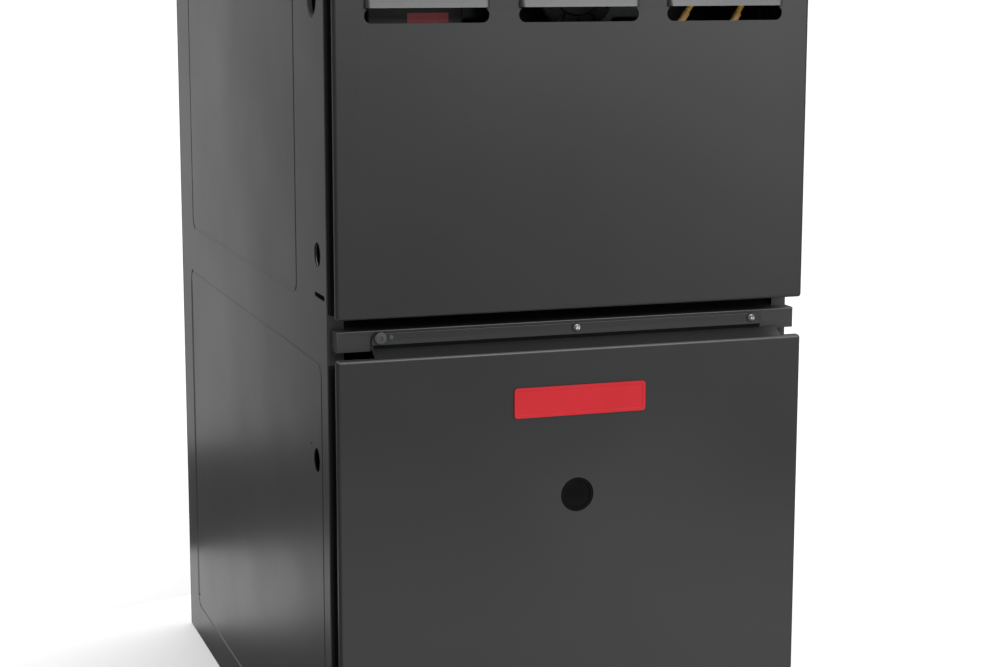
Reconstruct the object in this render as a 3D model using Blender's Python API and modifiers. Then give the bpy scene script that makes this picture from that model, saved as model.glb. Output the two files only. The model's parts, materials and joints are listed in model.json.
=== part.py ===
"""A gas-fired home furnace that blows upwards, built from the pieces it is assembled from.

Lengths are in metres, +Z is up and the doors face -Y. The origin is on the floor, under
the middle of the box that holds the whole furnace.
"""

import math

import bmesh
import bpy
from mathutils import Matrix, Vector

# Casing
CASING_WIDTH = 0.4445
CASING_DEPTH = 0.7400  # door faces to the back
BLOWER_SECTION_HEIGHT = 0.4802  # floor to the top of the deck
HEAT_SECTION_HEIGHT = 0.3834  # deck to the top of the casing
SHEET = 0.0010
GAP = 0.0003  # between pieces that touch
EDGE_FLANGE = 0.0150
DUCT_FLANGE_HEIGHT = 0.0190
TOP_LIP_HEIGHT = 0.0120
SUPPLY_SIDE_MARGIN = 0.0320
SUPPLY_REAR_MARGIN = 0.0250
SUPPLY_FRONT_MARGIN = 0.0200  # behind the vestibule panel
RETURN_SIDE_MARGIN = 0.0560
RETURN_FRONT_MARGIN = 0.0900
RETURN_REAR_MARGIN = 0.0450
RETURN_RIM_HEIGHT = 0.0120
BASE_UPSTAND = 0.0250
RAIL_SETBACK = 0.0160  # door faces to the face of the front rail
RAIL_HEIGHT = 0.0185
RAIL_TONGUE = 0.0300

# Holes and grooves in the casing sides, measured back from the door faces. The gas pipe
# enters on the left.
GAS_HOLE_DIAMETER = 0.0350
GAS_HOLE_SETBACK = 0.0755
GAS_HOLE_DROP = 0.0944  # below the top of the casing
KNOCKOUT_DIAMETER = 0.0222
UPPER_KNOCKOUT_SETBACK = 0.0660
UPPER_KNOCKOUT_RISE = 0.0633  # above the deck
LOWER_KNOCKOUT_SETBACK = 0.0775
LOWER_KNOCKOUT_DROP = 0.1265  # below the deck
PILOT_HOLE_DIAMETER = 0.0030
PILOT_HOLE_SETBACK = 0.0970
PILOT_HOLE_DROP = 0.1152  # below the deck
HANG_SLOT_SETBACK = 0.0590
HANG_SLOT_RISE = 0.0268
HANG_SLOT_LENGTH = 0.0360
HANG_SLOT_HEIGHT = 0.0045
BEAD_WIDTH = 0.0030
BEAD_DEPTH = 0.0004
BEAD_CORNER = 0.0120
UPPER_BEAD_FRONT = 0.1490
UPPER_BEAD_REAR = 0.0740  # in from the back
UPPER_BEAD_RISE = 0.0158  # above the deck
UPPER_BEAD_DROP = 0.0300  # below the top of the casing
LOWER_BEAD_FRONT = 0.0570
LOWER_BEAD_REAR = 0.0550
LOWER_BEAD_DROP = 0.0362  # below the deck
LOWER_BEAD_RISE = 0.0400  # above the floor

# Doors
DOOR_DEPTH = 0.0330  # door faces to the front edges of the casing sides
DOOR_SKIN_DEPTH = 0.0060
DOOR_FRAME_INSET = 0.0090
DOOR_EDGE_RADIUS = 0.0030
UPPER_DOOR_RISE = 0.0135  # above the deck
UPPER_DOOR_DROP = 0.0060  # below the top of the casing
LOWER_DOOR_DROP = 0.0219  # below the deck
LOWER_DOOR_RISE = 0.0050  # above the floor
LOUVER_WIDTH = 0.1120
LOUVER_SLOT_HEIGHT = 0.0132
LOUVER_HOOD_HEIGHT = 0.0220
LOUVER_PROJECTION = 0.0050
LOUVER_COLUMN_PITCH = 0.1390
LOUVER_ROW_PITCH = 0.0460
LOUVER_DROP = 0.1085  # below the top of the casing, to the middle of the lowest slots
SCREW_LIP_WIDTH = 0.3750
SCREW_LIP_HEIGHT = 0.0135
SCREW_LIP_CORNER = 0.0060
SCREW_LIP_RISE = 0.0072  # top of the lower door to the lip's lower edge
SCREW_LIP_OFFSET = 0.0005
SCREW_HEM = 0.0025  # the lip's two layers
DOOR_SCREW_DROP = 0.0054  # below the deck
DOOR_SCREW_SHANK = 0.0020
DOOR_SCREW_LENGTH = 0.0120
DOOR_SCREW_PLACES = {"left": -0.1785, "middle": 0.0044, "right": 0.1770}
DOOR_SCREW_HEADS = {"left": 0.0055, "middle": 0.0042, "right": 0.0042}
SCREW_WASHER_THICKNESS = 0.0012
SCREW_HEAD_HEIGHT = 0.0030
SCREW_HEAD_SHARE = 0.78  # hexagon to washer
SIGHT_HOLE_DIAMETER = 0.0315
SIGHT_HOLE_DROP = 0.1357  # below the top of the lower door
SIGHT_HOLE_OFFSET = 0.0014
LENS_FLANGE_WIDTH = 0.0035
LENS_FLANGE_THICKNESS = 0.0030
LENS_RIM_WIDTH = 0.0030
LENS_RIM_HEIGHT = 0.0010
BADGE_WIDTH = 0.1260
BADGE_HEIGHT = 0.0275
BADGE_THICKNESS = 0.0010
BADGE_DROP = 0.0476
BADGE_OFFSET = 0.0035

# Heat exchanger and its collector
VESTIBULE_DEPTH = 0.1650  # door faces to the vestibule panel
TUBE_DIAMETER = 0.0380
TUBE_WALL = 0.0015
TUBE_COUNT = 4
TUBE_PITCH = 0.0660
TUBE_PASSES = 4
TUBE_REAR_CLEARANCE = 0.0510  # from the rear bends to the back
TUBE_FRONT_CLEARANCE = 0.0400  # from the front bends to the vestibule panel
TUBE_MOUTH_DEPTH = 0.0500
BURNER_RISE = 0.1180  # burner axes above the deck
OUTLET_DROP = 0.0880  # upper tube ends below the top of the casing
COLLECTOR_DEPTH = 0.0300
COLLECTOR_MARGIN = 0.0110
COLLECTOR_FOLD = 0.0030
INDUCER_OFFSET = 0.0180
INDUCER_DEPTH = 0.0447
INDUCER_START_RADIUS = 0.0480
INDUCER_END_RADIUS = 0.0640
INDUCER_NECK_HEIGHT = 0.0600  # above the inducer's axis
INDUCER_WALL = 0.0015
INDUCER_EYE_DIAMETER = 0.0500
INDUCER_WHEEL_DIAMETER = 0.0840
INDUCER_WHEEL_DEPTH = 0.0280
INDUCER_BLADES = 11
INDUCER_HUB_RADIUS = 0.0100
INDUCER_HUB_LENGTH = 0.0220
INDUCER_BLADE_THICKNESS = 0.0014
INDUCER_SHAFT_DIAMETER = 0.0080
INDUCER_MOTOR_DIAMETER = 0.0760
INDUCER_MOTOR_LENGTH = 0.0320
INDUCER_MOTOR_BORE = 0.0160
INDUCER_MOTOR_EDGE = 0.0030
MOTOR_BOSS_RADIUS = 0.0230
MOTOR_STANDOFF = 0.0100
VENT_DIAMETER = 0.0760
VENT_STANDS_OUT = 0.0350
VENT_HOLE_MARGIN = 0.0040
VENT_FOOT_WIDTH = 0.0080
VENT_FOOT_THICKNESS = 0.0015

# Burners and gas train
BURNER_SETBACK = 0.0680  # door faces to the burner mouths
BURNER_MOUTH_RADIUS = 0.0145
BURNER_COLLAR_RADIUS = 0.0130
BURNER_THROAT_RADIUS = 0.0090
BURNER_HEAD_RADIUS = 0.0150
BURNER_WALL = 0.0015
BURNER_MOUTH_LENGTH = 0.0100
BURNER_COLLAR_LENGTH = 0.0080
BURNER_TAPER_LENGTH = 0.0160
BURNER_HEAD_LENGTH = 0.0140
BURNER_FLARE_LENGTH = 0.0120
SHELF_DROP = 0.0220  # burner axes to the shelf
BRACKET_SIDE_HEIGHT = 0.0460
BRACKET_MARGIN = 0.0185
MANIFOLD_SETBACK = 0.0520
MANIFOLD_RADIUS = 0.0107
MANIFOLD_BEND = 0.0170
SPUD_RADIUS = 0.0050
SPUD_REACH = 0.0040  # into the burner mouths
MANIFOLD_OVERHANG = 0.0120
PLUG_RADIUS = 0.0134
PLUG_LENGTH = 0.0100
VALVE_FROM_SIDE = 0.0823  # casing side to the middle of the valve
VALVE_WIDTH = 0.0880
VALVE_FRONT_SETBACK = 0.0380
VALVE_DEPTH = 0.0650
VALVE_ABOVE_INLET = 0.0228
VALVE_BELOW_INLET = 0.0532
VALVE_BOSS_LENGTH = 0.0160
OUTLET_BOSS_RADIUS = 0.0140
REGULATOR_RADIUS = 0.0160
REGULATOR_HEIGHT = 0.0170
OPERATOR_HEIGHT = 0.0140
KNOB_RADIUS = 0.0110
KNOB_HEIGHT = 0.0100
KNOB_BAR_WIDTH = 0.0048
KNOB_RISE = 0.0191  # above the bottom of the valve
SENSOR_SETBACK = 0.0450  # in front of the vestibule panel
SENSOR_TIP_GAP = 0.0060
IGNITER_WIDTH = 0.0120
IGNITER_DEPTH = 0.0100
IGNITER_HEIGHT = 0.0180
IGNITER_CLEARANCE = 0.0030
IGNITER_BLADE_WIDTH = 0.0050
IGNITER_BLADE_THICKNESS = 0.0030
IGNITER_BLADE_RISE = 0.0060
HOLDER_WIDTH = 0.0080
HOLDER_DEPTH = 0.0140
HOLDER_HEIGHT = 0.0160
HOLDER_CLEARANCE = 0.0040
FLAME_ROD_RADIUS = 0.0012
FLAME_ROD_RISE = 0.0100

# Safety controls on the vestibule panel
LIMIT_RISE = 0.2100  # above the deck
LIMIT_BODY_DEPTH = 0.0150
LIMIT_BODY_RADIUS = 0.0110
LIMIT_FLANGE_RADIUS = 0.0170
LIMIT_FLANGE_THICKNESS = 0.0030
LIMIT_STEM_LENGTH = 0.0350
LIMIT_STEM_RADIUS = 0.0060
ROLLOUT_OFFSET = 0.0600
ROLLOUT_RISE = 0.1700
ROLLOUT_RADIUS = 0.0095
ROLLOUT_DEPTH = 0.0150
ROLLOUT_BORE_DEPTH = 0.0080
RESET_RADIUS = 0.0025
RESET_TRAVEL = 0.0015
PRESSURE_SWITCH_RADIUS = 0.0300
PRESSURE_SWITCH_DEPTH = 0.0220
PRESSURE_SWITCH_OFFSET = 0.1720
PRESSURE_SWITCH_RISE = 0.3200
BARB_LENGTH = 0.0120
HOSE_RADIUS = 0.0035
WIRE_RADIUS = 0.0025

# Routes of the hose and the wires: across, back from the door faces, above their start
HOSE_ROUTE = ((0.1620, 0.0950, -0.0050), (0.1430, 0.0860, -0.0140), (0.1190, 0.0960, -0.0240))
LIMIT_WIRE_ROUTE = (
    (0.0400, 0.0800, -0.0020),
    (0.0850, 0.0360, 0.0270),
    (0.1155, 0.0300, 0.0640),
    (0.1340, 0.0360, 0.0920),
    (0.1480, 0.0700, 0.1150),
)
ROLLOUT_WIRE_ROUTE = (
    (0.1000, 0.0750, 0.0200),
    (0.1380, 0.0340, 0.0660),
    (0.1660, 0.0290, 0.1040),
    (0.1830, 0.0380, 0.1300),
    (0.1900, 0.0750, 0.1500),
)
WIRE_LEAD = 0.0200  # straight run out of each switch
SWITCH_TERMINAL_OFFSET = 0.0120
LIMIT_TERMINAL_OFFSET = 0.0040

# Blower
BLOWER_SETBACK = 0.4200  # door faces to the blower's shaft
BLOWER_AXIS_DROP = 0.2150  # shaft below the top of the housing
BLOWER_HALF_WIDTH = 0.1110
BLOWER_START_RADIUS = 0.1380
BLOWER_END_RADIUS = 0.1900
BLOWER_EYE_RADIUS = 0.1000
BLOWER_FLANGE = 0.0200
WHEEL_RADIUS = 0.1270
WHEEL_RING_WIDTH = 0.0180
WHEEL_HALF_WIDTH = 0.1010
WHEEL_BLADES = 24
WHEEL_BLADE_CHORD = 0.0180
WHEEL_BLADE_THICKNESS = 0.0016
BLOWER_SHAFT_RADIUS = 0.0064
HUB_RADIUS = 0.0200
HUB_LENGTH = 0.0300
MOTOR_RADIUS = 0.0700
MOTOR_LENGTH = 0.1150
MOTOR_PROUD = 0.0350  # how far the motor stands out of the housing
BAND_WIDTH = 0.0160
BAND_THICKNESS = 0.0020
ARM_THICKNESS = 0.0030
ARM_WIDTH = 0.0200
ARM_OVERLAP = 0.0180
CAPACITOR_RADIUS = 0.0220
CAPACITOR_LENGTH = 0.0700
CAPACITOR_DROP = 0.0160  # its top below the rails
CAPACITOR_FORWARD = 0.1140  # in front of the shaft
TERMINAL_WIDTH = 0.0160
TERMINAL_DEPTH = 0.0060
TERMINAL_HEIGHT = 0.0080
STRAP_WIDTH = 0.0150
STRAP_FOOT = 0.0140
RAIL_WIDTH = 0.0230
RAIL_LIP = 0.0138
RAIL_LENGTH = 0.3600

# Electrical controls
TRAY_SETBACK = 0.1200
TRAY_HALF_WIDTH = 0.1300
TRAY_HEIGHT = 0.2300
TRAY_FLANGE = 0.0200
BOARD_WIDTH = 0.1500
BOARD_HEIGHT = 0.1200
BOARD_OFFSET = 0.0280
BOARD_DROP = 0.0950  # below the deck's underside
BOARD_THICKNESS = 0.0016
BOARD_STANDOFF = 0.0080
STANDOFF_RADIUS = 0.0030
STANDOFF_INSET = 0.0080
RELAY_SIZE = (0.0200, 0.0180, 0.0300)
RELAY_PITCH = 0.0300
RELAY_INSET = 0.0200
RELAY_DROP = 0.0150
STRIP_INSET = 0.0150
STRIP_DEPTH = 0.0100
STRIP_HEIGHT = 0.0120
STRIP_RISE = 0.0060
TRANSFORMER_WIDTH = 0.0600
TRANSFORMER_HEIGHT = 0.0500
TRANSFORMER_DEPTH = 0.0480
TRANSFORMER_DROP = 0.0350
COIL_INSET = 0.0100
CORE_FRONT_INSET = 0.0120
CORE_BACK_INSET = 0.0096
DOOR_SWITCH_OFFSET = -0.1000
DOOR_SWITCH_SETBACK = 0.0200
DOOR_SWITCH_WIDTH = 0.0260
DOOR_SWITCH_HEIGHT = 0.0220
DOOR_SWITCH_DEPTH = 0.0280
HANGER_DEPTH = 0.0040
PLUNGER_RADIUS = 0.0040
PLUNGER_TRAVEL = 0.0030
PLUNGER_BORE_DEPTH = 0.0120
JUNCTION_WIDTH = 0.0550
JUNCTION_HEIGHT = 0.0600
JUNCTION_DEPTH = 0.0600
JUNCTION_SETBACK = 0.0400

CASING_HEIGHT = BLOWER_SECTION_HEIGHT + HEAT_SECTION_HEIGHT
HALF_WIDTH = CASING_WIDTH / 2
DOOR_FACE = (LOUVER_PROJECTION - CASING_DEPTH) / 2
REAR = DOOR_FACE + CASING_DEPTH
DECK_TOP = BLOWER_SECTION_HEIGHT
DECK_UNDER = DECK_TOP - SHEET
WALL_TOP = CASING_HEIGHT - SHEET - GAP
INNER_HALF = HALF_WIDTH - SHEET - GAP
INNER_FRONT = DOOR_FACE + DOOR_DEPTH + SHEET + GAP
INNER_REAR = REAR - 2 * (SHEET + GAP)
PANEL_FRONT = DOOR_FACE + VESTIBULE_DEPTH
TUBE_RADIUS = TUBE_DIAMETER / 2
TUBE_BORE = TUBE_RADIUS - TUBE_WALL
BURNER_Z = DECK_TOP + BURNER_RISE
OUTLET_Z = CASING_HEIGHT - OUTLET_DROP
TUBE_XS = [(i - (TUBE_COUNT - 1) / 2) * TUBE_PITCH for i in range(TUBE_COUNT)]
INDUCER_BACK = PANEL_FRONT - COLLECTOR_DEPTH - GAP
INDUCER_FRONT = INDUCER_BACK - INDUCER_DEPTH
GAS_Z = CASING_HEIGHT - GAS_HOLE_DROP
VALVE_X = VALVE_FROM_SIDE - HALF_WIDTH
VALVE_FRONT = DOOR_FACE + VALVE_FRONT_SETBACK
MANIFOLD_Y = DOOR_FACE + MANIFOLD_SETBACK
BRACKET_HALF = TUBE_XS[-1] + BRACKET_MARGIN
BLOWER_Y = DOOR_FACE + BLOWER_SETBACK
BLOWER_TOP = DECK_UNDER - GAP
BLOWER_Z = BLOWER_TOP - BLOWER_AXIS_DROP
RAIL_TOP = DECK_TOP + GAP + SHEET
LOWER_DOOR_TOP = DECK_TOP - LOWER_DOOR_DROP
LIP_BACK = DOOR_FACE + RAIL_SETBACK - GAP
PRESSURE_SWITCH_Z = DECK_TOP + PRESSURE_SWITCH_RISE
ROLLOUT_Z = DECK_TOP + ROLLOUT_RISE
LIMIT_Z = DECK_TOP + LIMIT_RISE

FACING = {
    "X": Matrix(((0, 0, 1), (1, 0, 0), (0, 1, 0))),
    "Y": Matrix(((1, 0, 0), (0, 0, -1), (0, 1, 0))),
    "Z": Matrix.Identity(3),
}

# Colour, roughness and metallic value of each finish
PAINT = ((0.055, 0.055, 0.058), 0.42, 0.0)
DOOR_PAINT = ((0.045, 0.045, 0.048), 0.38, 0.0)
GALVANISED = ((0.55, 0.57, 0.59), 0.45, 0.9)
ALUMINISED = ((0.48, 0.48, 0.47), 0.50, 0.9)
ZINC_SCREW = ((0.62, 0.62, 0.60), 0.35, 1.0)
BLACK_PAINT = ((0.02, 0.02, 0.02), 0.55, 0.0)
BLACK_PLASTIC = ((0.02, 0.02, 0.022), 0.45, 0.0)
GREY_PLASTIC = ((0.20, 0.20, 0.21), 0.50, 0.0)
RED_VINYL = ((0.45, 0.02, 0.02), 0.40, 0.0)
CERAMIC = ((0.80, 0.78, 0.72), 0.60, 0.0)
CAST_ALUMINIUM = ((0.50, 0.51, 0.52), 0.50, 0.8)
STEEL_SHAFT = ((0.60, 0.60, 0.60), 0.25, 1.0)
BOARD_GREEN = ((0.03, 0.16, 0.06), 0.50, 0.0)
RED_BUTTON = ((0.60, 0.03, 0.03), 0.40, 0.0)
RUBBER = ((0.03, 0.03, 0.03), 0.80, 0.0)
YELLOW_WIRE = ((0.75, 0.55, 0.05), 0.45, 0.0)
LENS = ((0.10, 0.10, 0.10), 0.10, 0.0)


def new_collection(name):
    collection = bpy.data.collections.new(name)
    bpy.context.scene.collection.children.link(collection)
    return collection


for old in list(bpy.data.objects):
    bpy.data.objects.remove(old)
furnace = new_collection("home_furnace")
helpers = new_collection("cutters_and_joined_shapes")


def enter(piece, finish):
    """Puts a piece in the furnace with its own material, or keeps it as a hidden helper."""
    if finish is None:
        helpers.objects.link(piece)
        piece.hide_render = True
        piece.display_type = "WIRE"
        return piece
    furnace.objects.link(piece)
    colour, roughness, metallic = finish
    material = bpy.data.materials.new(piece.name)
    material.use_nodes = True
    shader = material.node_tree.nodes["Principled BSDF"]
    shader.inputs["Base Color"].default_value = (*colour, 1.0)
    shader.inputs["Roughness"].default_value = roughness
    shader.inputs["Metallic"].default_value = metallic
    piece.data.materials.append(material)
    return piece


def smooth(piece):
    piece.data.shade_smooth()
    piece.data.set_sharp_from_angle(angle=math.radians(35))
    return piece


def from_shape(name, shape, location, finish):
    """A piece made from a bmesh."""
    mesh = bpy.data.meshes.new(name)
    shape.to_mesh(mesh)
    shape.free()
    piece = bpy.data.objects.new(name, mesh)
    piece.location = location
    return enter(piece, finish)


def box(name, low, high, finish=None):
    """A box between two corners, with its origin in its middle."""
    low, high = Vector(low), Vector(high)
    shape = bmesh.new()
    bmesh.ops.create_cube(shape, size=1.0)
    bmesh.ops.scale(shape, vec=high - low, verts=shape.verts)
    return from_shape(name, shape, (low + high) / 2, finish)


def pan(name, low, high, open_sides, finish, radius=0.0, wall=SHEET):
    """A folded sheet-metal tray. Each open side is a direction that has no wall."""
    low, high = Vector(low), Vector(high)
    shape = bmesh.new()
    bmesh.ops.create_cube(shape, size=1.0)
    gone = [f for f in shape.faces if any(f.normal.dot(Vector(side)) > 0.9 for side in open_sides)]
    bmesh.ops.delete(shape, geom=gone, context="FACES")
    bmesh.ops.scale(shape, vec=high - low, verts=shape.verts)
    piece = from_shape(name, shape, (low + high) / 2, finish)
    if radius:
        fold = piece.modifiers.new("Folded edges", "BEVEL")
        fold.width = radius
        fold.segments = 2
    skin = piece.modifiers.new("Sheet", "SOLIDIFY")
    skin.thickness = wall
    skin.offset = -1
    skin.use_even_offset = True
    return piece


def rod(name, start, direction, radius, length, finish=None, sides=20):
    """A round bar from its start along a direction."""
    direction = Vector(direction).normalized()
    shape = bmesh.new()
    bmesh.ops.create_cone(
        shape, cap_ends=True, segments=sides, radius1=radius, radius2=radius, depth=length
    )
    piece = from_shape(name, shape, Vector(start) + direction * length / 2, finish)
    piece.rotation_euler = Vector((0, 0, 1)).rotation_difference(direction).to_euler()
    return smooth(piece)


def turned(name, profile, start, direction, finish=None, steps=20, closed=True):
    """A turned shape. The profile holds (radius, distance along the direction), running
    down the outer side from its far end. An open profile starts and ends on the axis."""
    mesh = bpy.data.meshes.new(name)
    edges = [(i, i + 1) for i in range(len(profile) - 1)]
    if closed:
        edges.append((len(profile) - 1, 0))
    mesh.from_pydata([(radius, 0, along) for radius, along in profile], edges, [])
    piece = bpy.data.objects.new(name, mesh)
    piece.location = start
    piece.rotation_euler = Vector((0, 0, 1)).rotation_difference(Vector(direction)).to_euler()
    turn = piece.modifiers.new("Turn", "SCREW")
    turn.steps = steps
    turn.render_steps = steps
    turn.use_merge_vertices = True
    turn.merge_threshold = 0.00001
    turn.use_smooth_shade = True
    return enter(piece, finish)


def solid_from_curve(piece, finish):
    """The curve's solid as a mesh, welded, with its faces pointing out."""
    helpers.objects.link(piece)
    bpy.context.view_layer.update()
    graph = bpy.context.evaluated_depsgraph_get()
    mesh = bpy.data.meshes.new_from_object(piece.evaluated_get(graph))
    name, place, curve = piece.name, piece.matrix_world.copy(), piece.data
    bpy.data.objects.remove(piece)
    bpy.data.curves.remove(curve)
    mesh.name = name
    shape = bmesh.new()
    shape.from_mesh(mesh)
    bmesh.ops.remove_doubles(shape, verts=shape.verts, dist=0.000001)
    bmesh.ops.recalc_face_normals(shape, faces=shape.faces)
    shape.to_mesh(mesh)
    shape.free()
    solid = bpy.data.objects.new(name, mesh)
    solid.matrix_world = place
    return enter(solid, finish)


def plate(name, outlines, thickness, facing, middle, finish=None):
    """A sheet cut to its outlines, where an outline inside another is a hole. The outlines
    lie in the two axes that the sheet doesn't face, in X, Y, Z order."""
    curve = bpy.data.curves.new(name, "CURVE")
    curve.dimensions = "2D"
    curve.fill_mode = "BOTH"
    curve.extrude = thickness / 2
    for outline in outlines:
        spline = curve.splines.new("POLY")
        spline.points.add(len(outline) - 1)
        for point, (across, along) in zip(spline.points, outline):
            point.co = (across, along, 0, 1)
        spline.use_cyclic_u = True
    sheet = bpy.data.objects.new(name, curve)
    sheet.rotation_euler = FACING[facing].to_euler()
    sheet.location["XYZ".index(facing)] = middle
    return solid_from_curve(sheet, finish)


def pipe(name, points, radius, finish=None, fineness=2):
    """A round bar or wire along points."""
    curve = bpy.data.curves.new(name, "CURVE")
    curve.dimensions = "3D"
    curve.bevel_depth = radius
    curve.bevel_resolution = fineness
    curve.use_fill_caps = True
    spline = curve.splines.new("POLY")
    spline.points.add(len(points) - 1)
    for point, place in zip(spline.points, points):
        point.co = (*place, 1)
    return smooth(solid_from_curve(bpy.data.objects.new(name, curve), finish))


def combine(piece, operation, tools):
    for tool in tools:
        step = piece.modifiers.new(tool.name, "BOOLEAN")
        step.operation = operation
        step.object = tool
    return piece


def cut(piece, *tools):
    return combine(piece, "DIFFERENCE", tools)


def join(piece, *tools):
    return combine(piece, "UNION", tools)


def arc(centre, radius, start, stop, steps):
    """Points along part of a circle, with its angles in degrees."""
    angles = [math.radians(start + (stop - start) * i / steps) for i in range(steps + 1)]
    return [(centre[0] + radius * math.cos(a), centre[1] + radius * math.sin(a)) for a in angles]


def circle(centre, radius, steps=24):
    return arc(centre, radius, 0, 360, steps)[:-1]


def around(radius, sides):
    """The corner radius of a hole with flat sides that clears a round bar by the gap."""
    return (radius + GAP) / math.cos(math.pi / sides)


def rectangle(low, high):
    return [low, (high[0], low[1]), high, (low[0], high[1])]


def rounded(low, high, radius, steps=3):
    """A rectangle with round corners. A radius of half its height gives round ends."""
    corners = (
        (high[0] - radius, low[1] + radius, -90),
        (high[0] - radius, high[1] - radius, 0),
        (low[0] + radius, high[1] - radius, 90),
        (low[0] + radius, low[1] + radius, 180),
    )
    points = []
    for across, along, start in corners:
        for point in arc((across, along), radius, start, start + 90, steps):
            if not points or math.dist(point, points[-1]) > 0.00001:
                points.append(point)
    if math.dist(points[0], points[-1]) < 0.00001:
        points.pop()
    return points


def grown(low, high, margin):
    return (low[0] - margin, low[1] - margin), (high[0] + margin, high[1] + margin)


def scroll(centre, start_radius, end_radius, top, inset=0.0, steps=20):
    """A fan scroll's outline: down its outer wall, round the spiral and up its inner wall."""
    across, along = centre
    points = [(across - end_radius + inset, top)]
    for i in range(steps + 1):
        share = i / steps
        angle = math.radians(-180 + 278 * share)
        radius = end_radius + (start_radius - end_radius) * share - inset
        points.append((across + radius * math.cos(angle), along + radius * math.sin(angle)))
    inner = points[-1][0]
    points.append((inner, top))
    return points


def smooth_route(knots, per_leg=3):
    """Points read from a smooth curve through the knots, straight where it starts and ends."""
    ends = [2 * Vector(knots[0]) - Vector(knots[1])]
    ends += [Vector(k) for k in knots]
    ends.append(2 * ends[-1] - ends[-2])
    points = []
    for a, b, c, d in zip(ends, ends[1:], ends[2:], ends[3:]):
        for i in range(per_leg):
            t = i / per_leg
            points.append(
                0.5 * (2 * b + (c - a) * t + (2 * a - 5 * b + 4 * c - d) * t**2
                       + (3 * b - a - 3 * c + d) * t**3)
            )
    points.append(ends[-2])
    points[1] = ends[1].lerp(ends[2], 1 / per_leg)
    points[-2] = ends[-2].lerp(ends[-3], 1 / per_leg)
    return points


def behind_doors(distance):
    return DOOR_FACE + distance


def casing_side(name, side):
    """A casing side, folded in at its front and rear edges. The side is -1 or 1."""
    front = behind_doors(DOOR_DEPTH)
    rear = REAR - SHEET - GAP
    outer = side * HALF_WIDTH
    inner = side * (HALF_WIDTH - SHEET)
    tip = side * (HALF_WIDTH - EDGE_FLANGE)
    outline = [
        (outer, front),
        (tip, front),
        (tip, front + SHEET),
        (inner, front + SHEET),
        (inner, rear - SHEET),
        (tip, rear - SHEET),
        (tip, rear),
        (outer, rear),
    ]
    wall = plate(name, [outline], WALL_TOP, "Z", WALL_TOP / 2, PAINT)
    slot_low = (
        behind_doors(HANG_SLOT_SETBACK) - HANG_SLOT_LENGTH / 2,
        DECK_TOP + HANG_SLOT_RISE - HANG_SLOT_HEIGHT / 2,
    )
    slot_high = (slot_low[0] + HANG_SLOT_LENGTH, slot_low[1] + HANG_SLOT_HEIGHT)
    outlines = [rounded(slot_low, slot_high, HANG_SLOT_HEIGHT / 2)]
    outlines += [circle(centre, KNOCKOUT_DIAMETER / 2) for centre in knockout_centres()]
    pilot = (behind_doors(PILOT_HOLE_SETBACK), DECK_TOP - PILOT_HOLE_DROP)
    outlines.append(circle(pilot, PILOT_HOLE_DIAMETER / 2, 8))
    if side < 0:
        gas_pipe = (behind_doors(GAS_HOLE_SETBACK), GAS_Z)
        outlines.append(circle(gas_pipe, GAS_HOLE_DIAMETER / 2))
    holes = plate(name + "_holes", outlines, 4 * SHEET, "X", outer)
    rings = []
    for low, high in bead_boxes():
        rings.append(rounded(low, high, BEAD_CORNER))
        rings.append(rounded(*grown(low, high, -BEAD_WIDTH), BEAD_CORNER - BEAD_WIDTH))
    grooves = plate(name + "_grooves", rings, 2 * BEAD_DEPTH, "X", outer)
    return cut(wall, holes, grooves)


def bead_boxes():
    """The corners of the two pressed rectangles in a casing side."""
    upper_low = (behind_doors(UPPER_BEAD_FRONT), DECK_TOP + UPPER_BEAD_RISE)
    upper_high = (REAR - UPPER_BEAD_REAR, CASING_HEIGHT - UPPER_BEAD_DROP)
    lower_low = (behind_doors(LOWER_BEAD_FRONT), LOWER_BEAD_RISE)
    lower_high = (REAR - LOWER_BEAD_REAR, DECK_TOP - LOWER_BEAD_DROP)
    return (upper_low, upper_high), (lower_low, lower_high)


def knockout_centres():
    upper = (behind_doors(UPPER_KNOCKOUT_SETBACK), DECK_TOP + UPPER_KNOCKOUT_RISE)
    lower = (behind_doors(LOWER_KNOCKOUT_SETBACK), DECK_TOP - LOWER_KNOCKOUT_DROP)
    return upper, lower


def back_panel():
    outline = rectangle((-HALF_WIDTH, 0), (HALF_WIDTH, WALL_TOP))
    plate("back_panel", [outline], SHEET, "Y", REAR - SHEET / 2, PAINT)


def vent_place():
    """The middle of the vent collar, over the inducer's neck."""
    neck = scroll((INDUCER_OFFSET, OUTLET_Z), INDUCER_START_RADIUS, INDUCER_END_RADIUS, 0)
    return (neck[0][0] + neck[-1][0]) / 2, (INDUCER_FRONT + INDUCER_BACK) / 2


def top_panel():
    """The casing's top: its supply opening has turned-up flanges for the duct."""
    margin = HALF_WIDTH - SUPPLY_SIDE_MARGIN
    rear = REAR - SUPPLY_REAR_MARGIN
    opening = (-margin, PANEL_FRONT + SUPPLY_FRONT_MARGIN), (margin, rear)
    outer = rectangle((-HALF_WIDTH, behind_doors(DOOR_DEPTH)), (HALF_WIDTH, REAR))
    vent = circle(vent_place(), VENT_DIAMETER / 2 + VENT_HOLE_MARGIN)
    panel = plate(
        "top_panel", [outer, rectangle(*opening), vent],
        SHEET, "Z", CASING_HEIGHT - SHEET / 2, PAINT,
    )
    flange = plate(
        "duct_flange", [rectangle(*grown(*opening, SHEET)), rectangle(*opening)],
        DUCT_FLANGE_HEIGHT + SHEET / 2, "Z",
        CASING_HEIGHT + DUCT_FLANGE_HEIGHT / 2 - SHEET / 4,
    )
    lip_half = HALF_WIDTH - EDGE_FLANGE - GAP
    lip = box(
        "top_lip",
        (-lip_half, behind_doors(DOOR_DEPTH), CASING_HEIGHT - TOP_LIP_HEIGHT),
        (lip_half, behind_doors(DOOR_DEPTH) + SHEET, CASING_HEIGHT - SHEET / 2),
    )
    join(panel, flange, lip)


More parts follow.
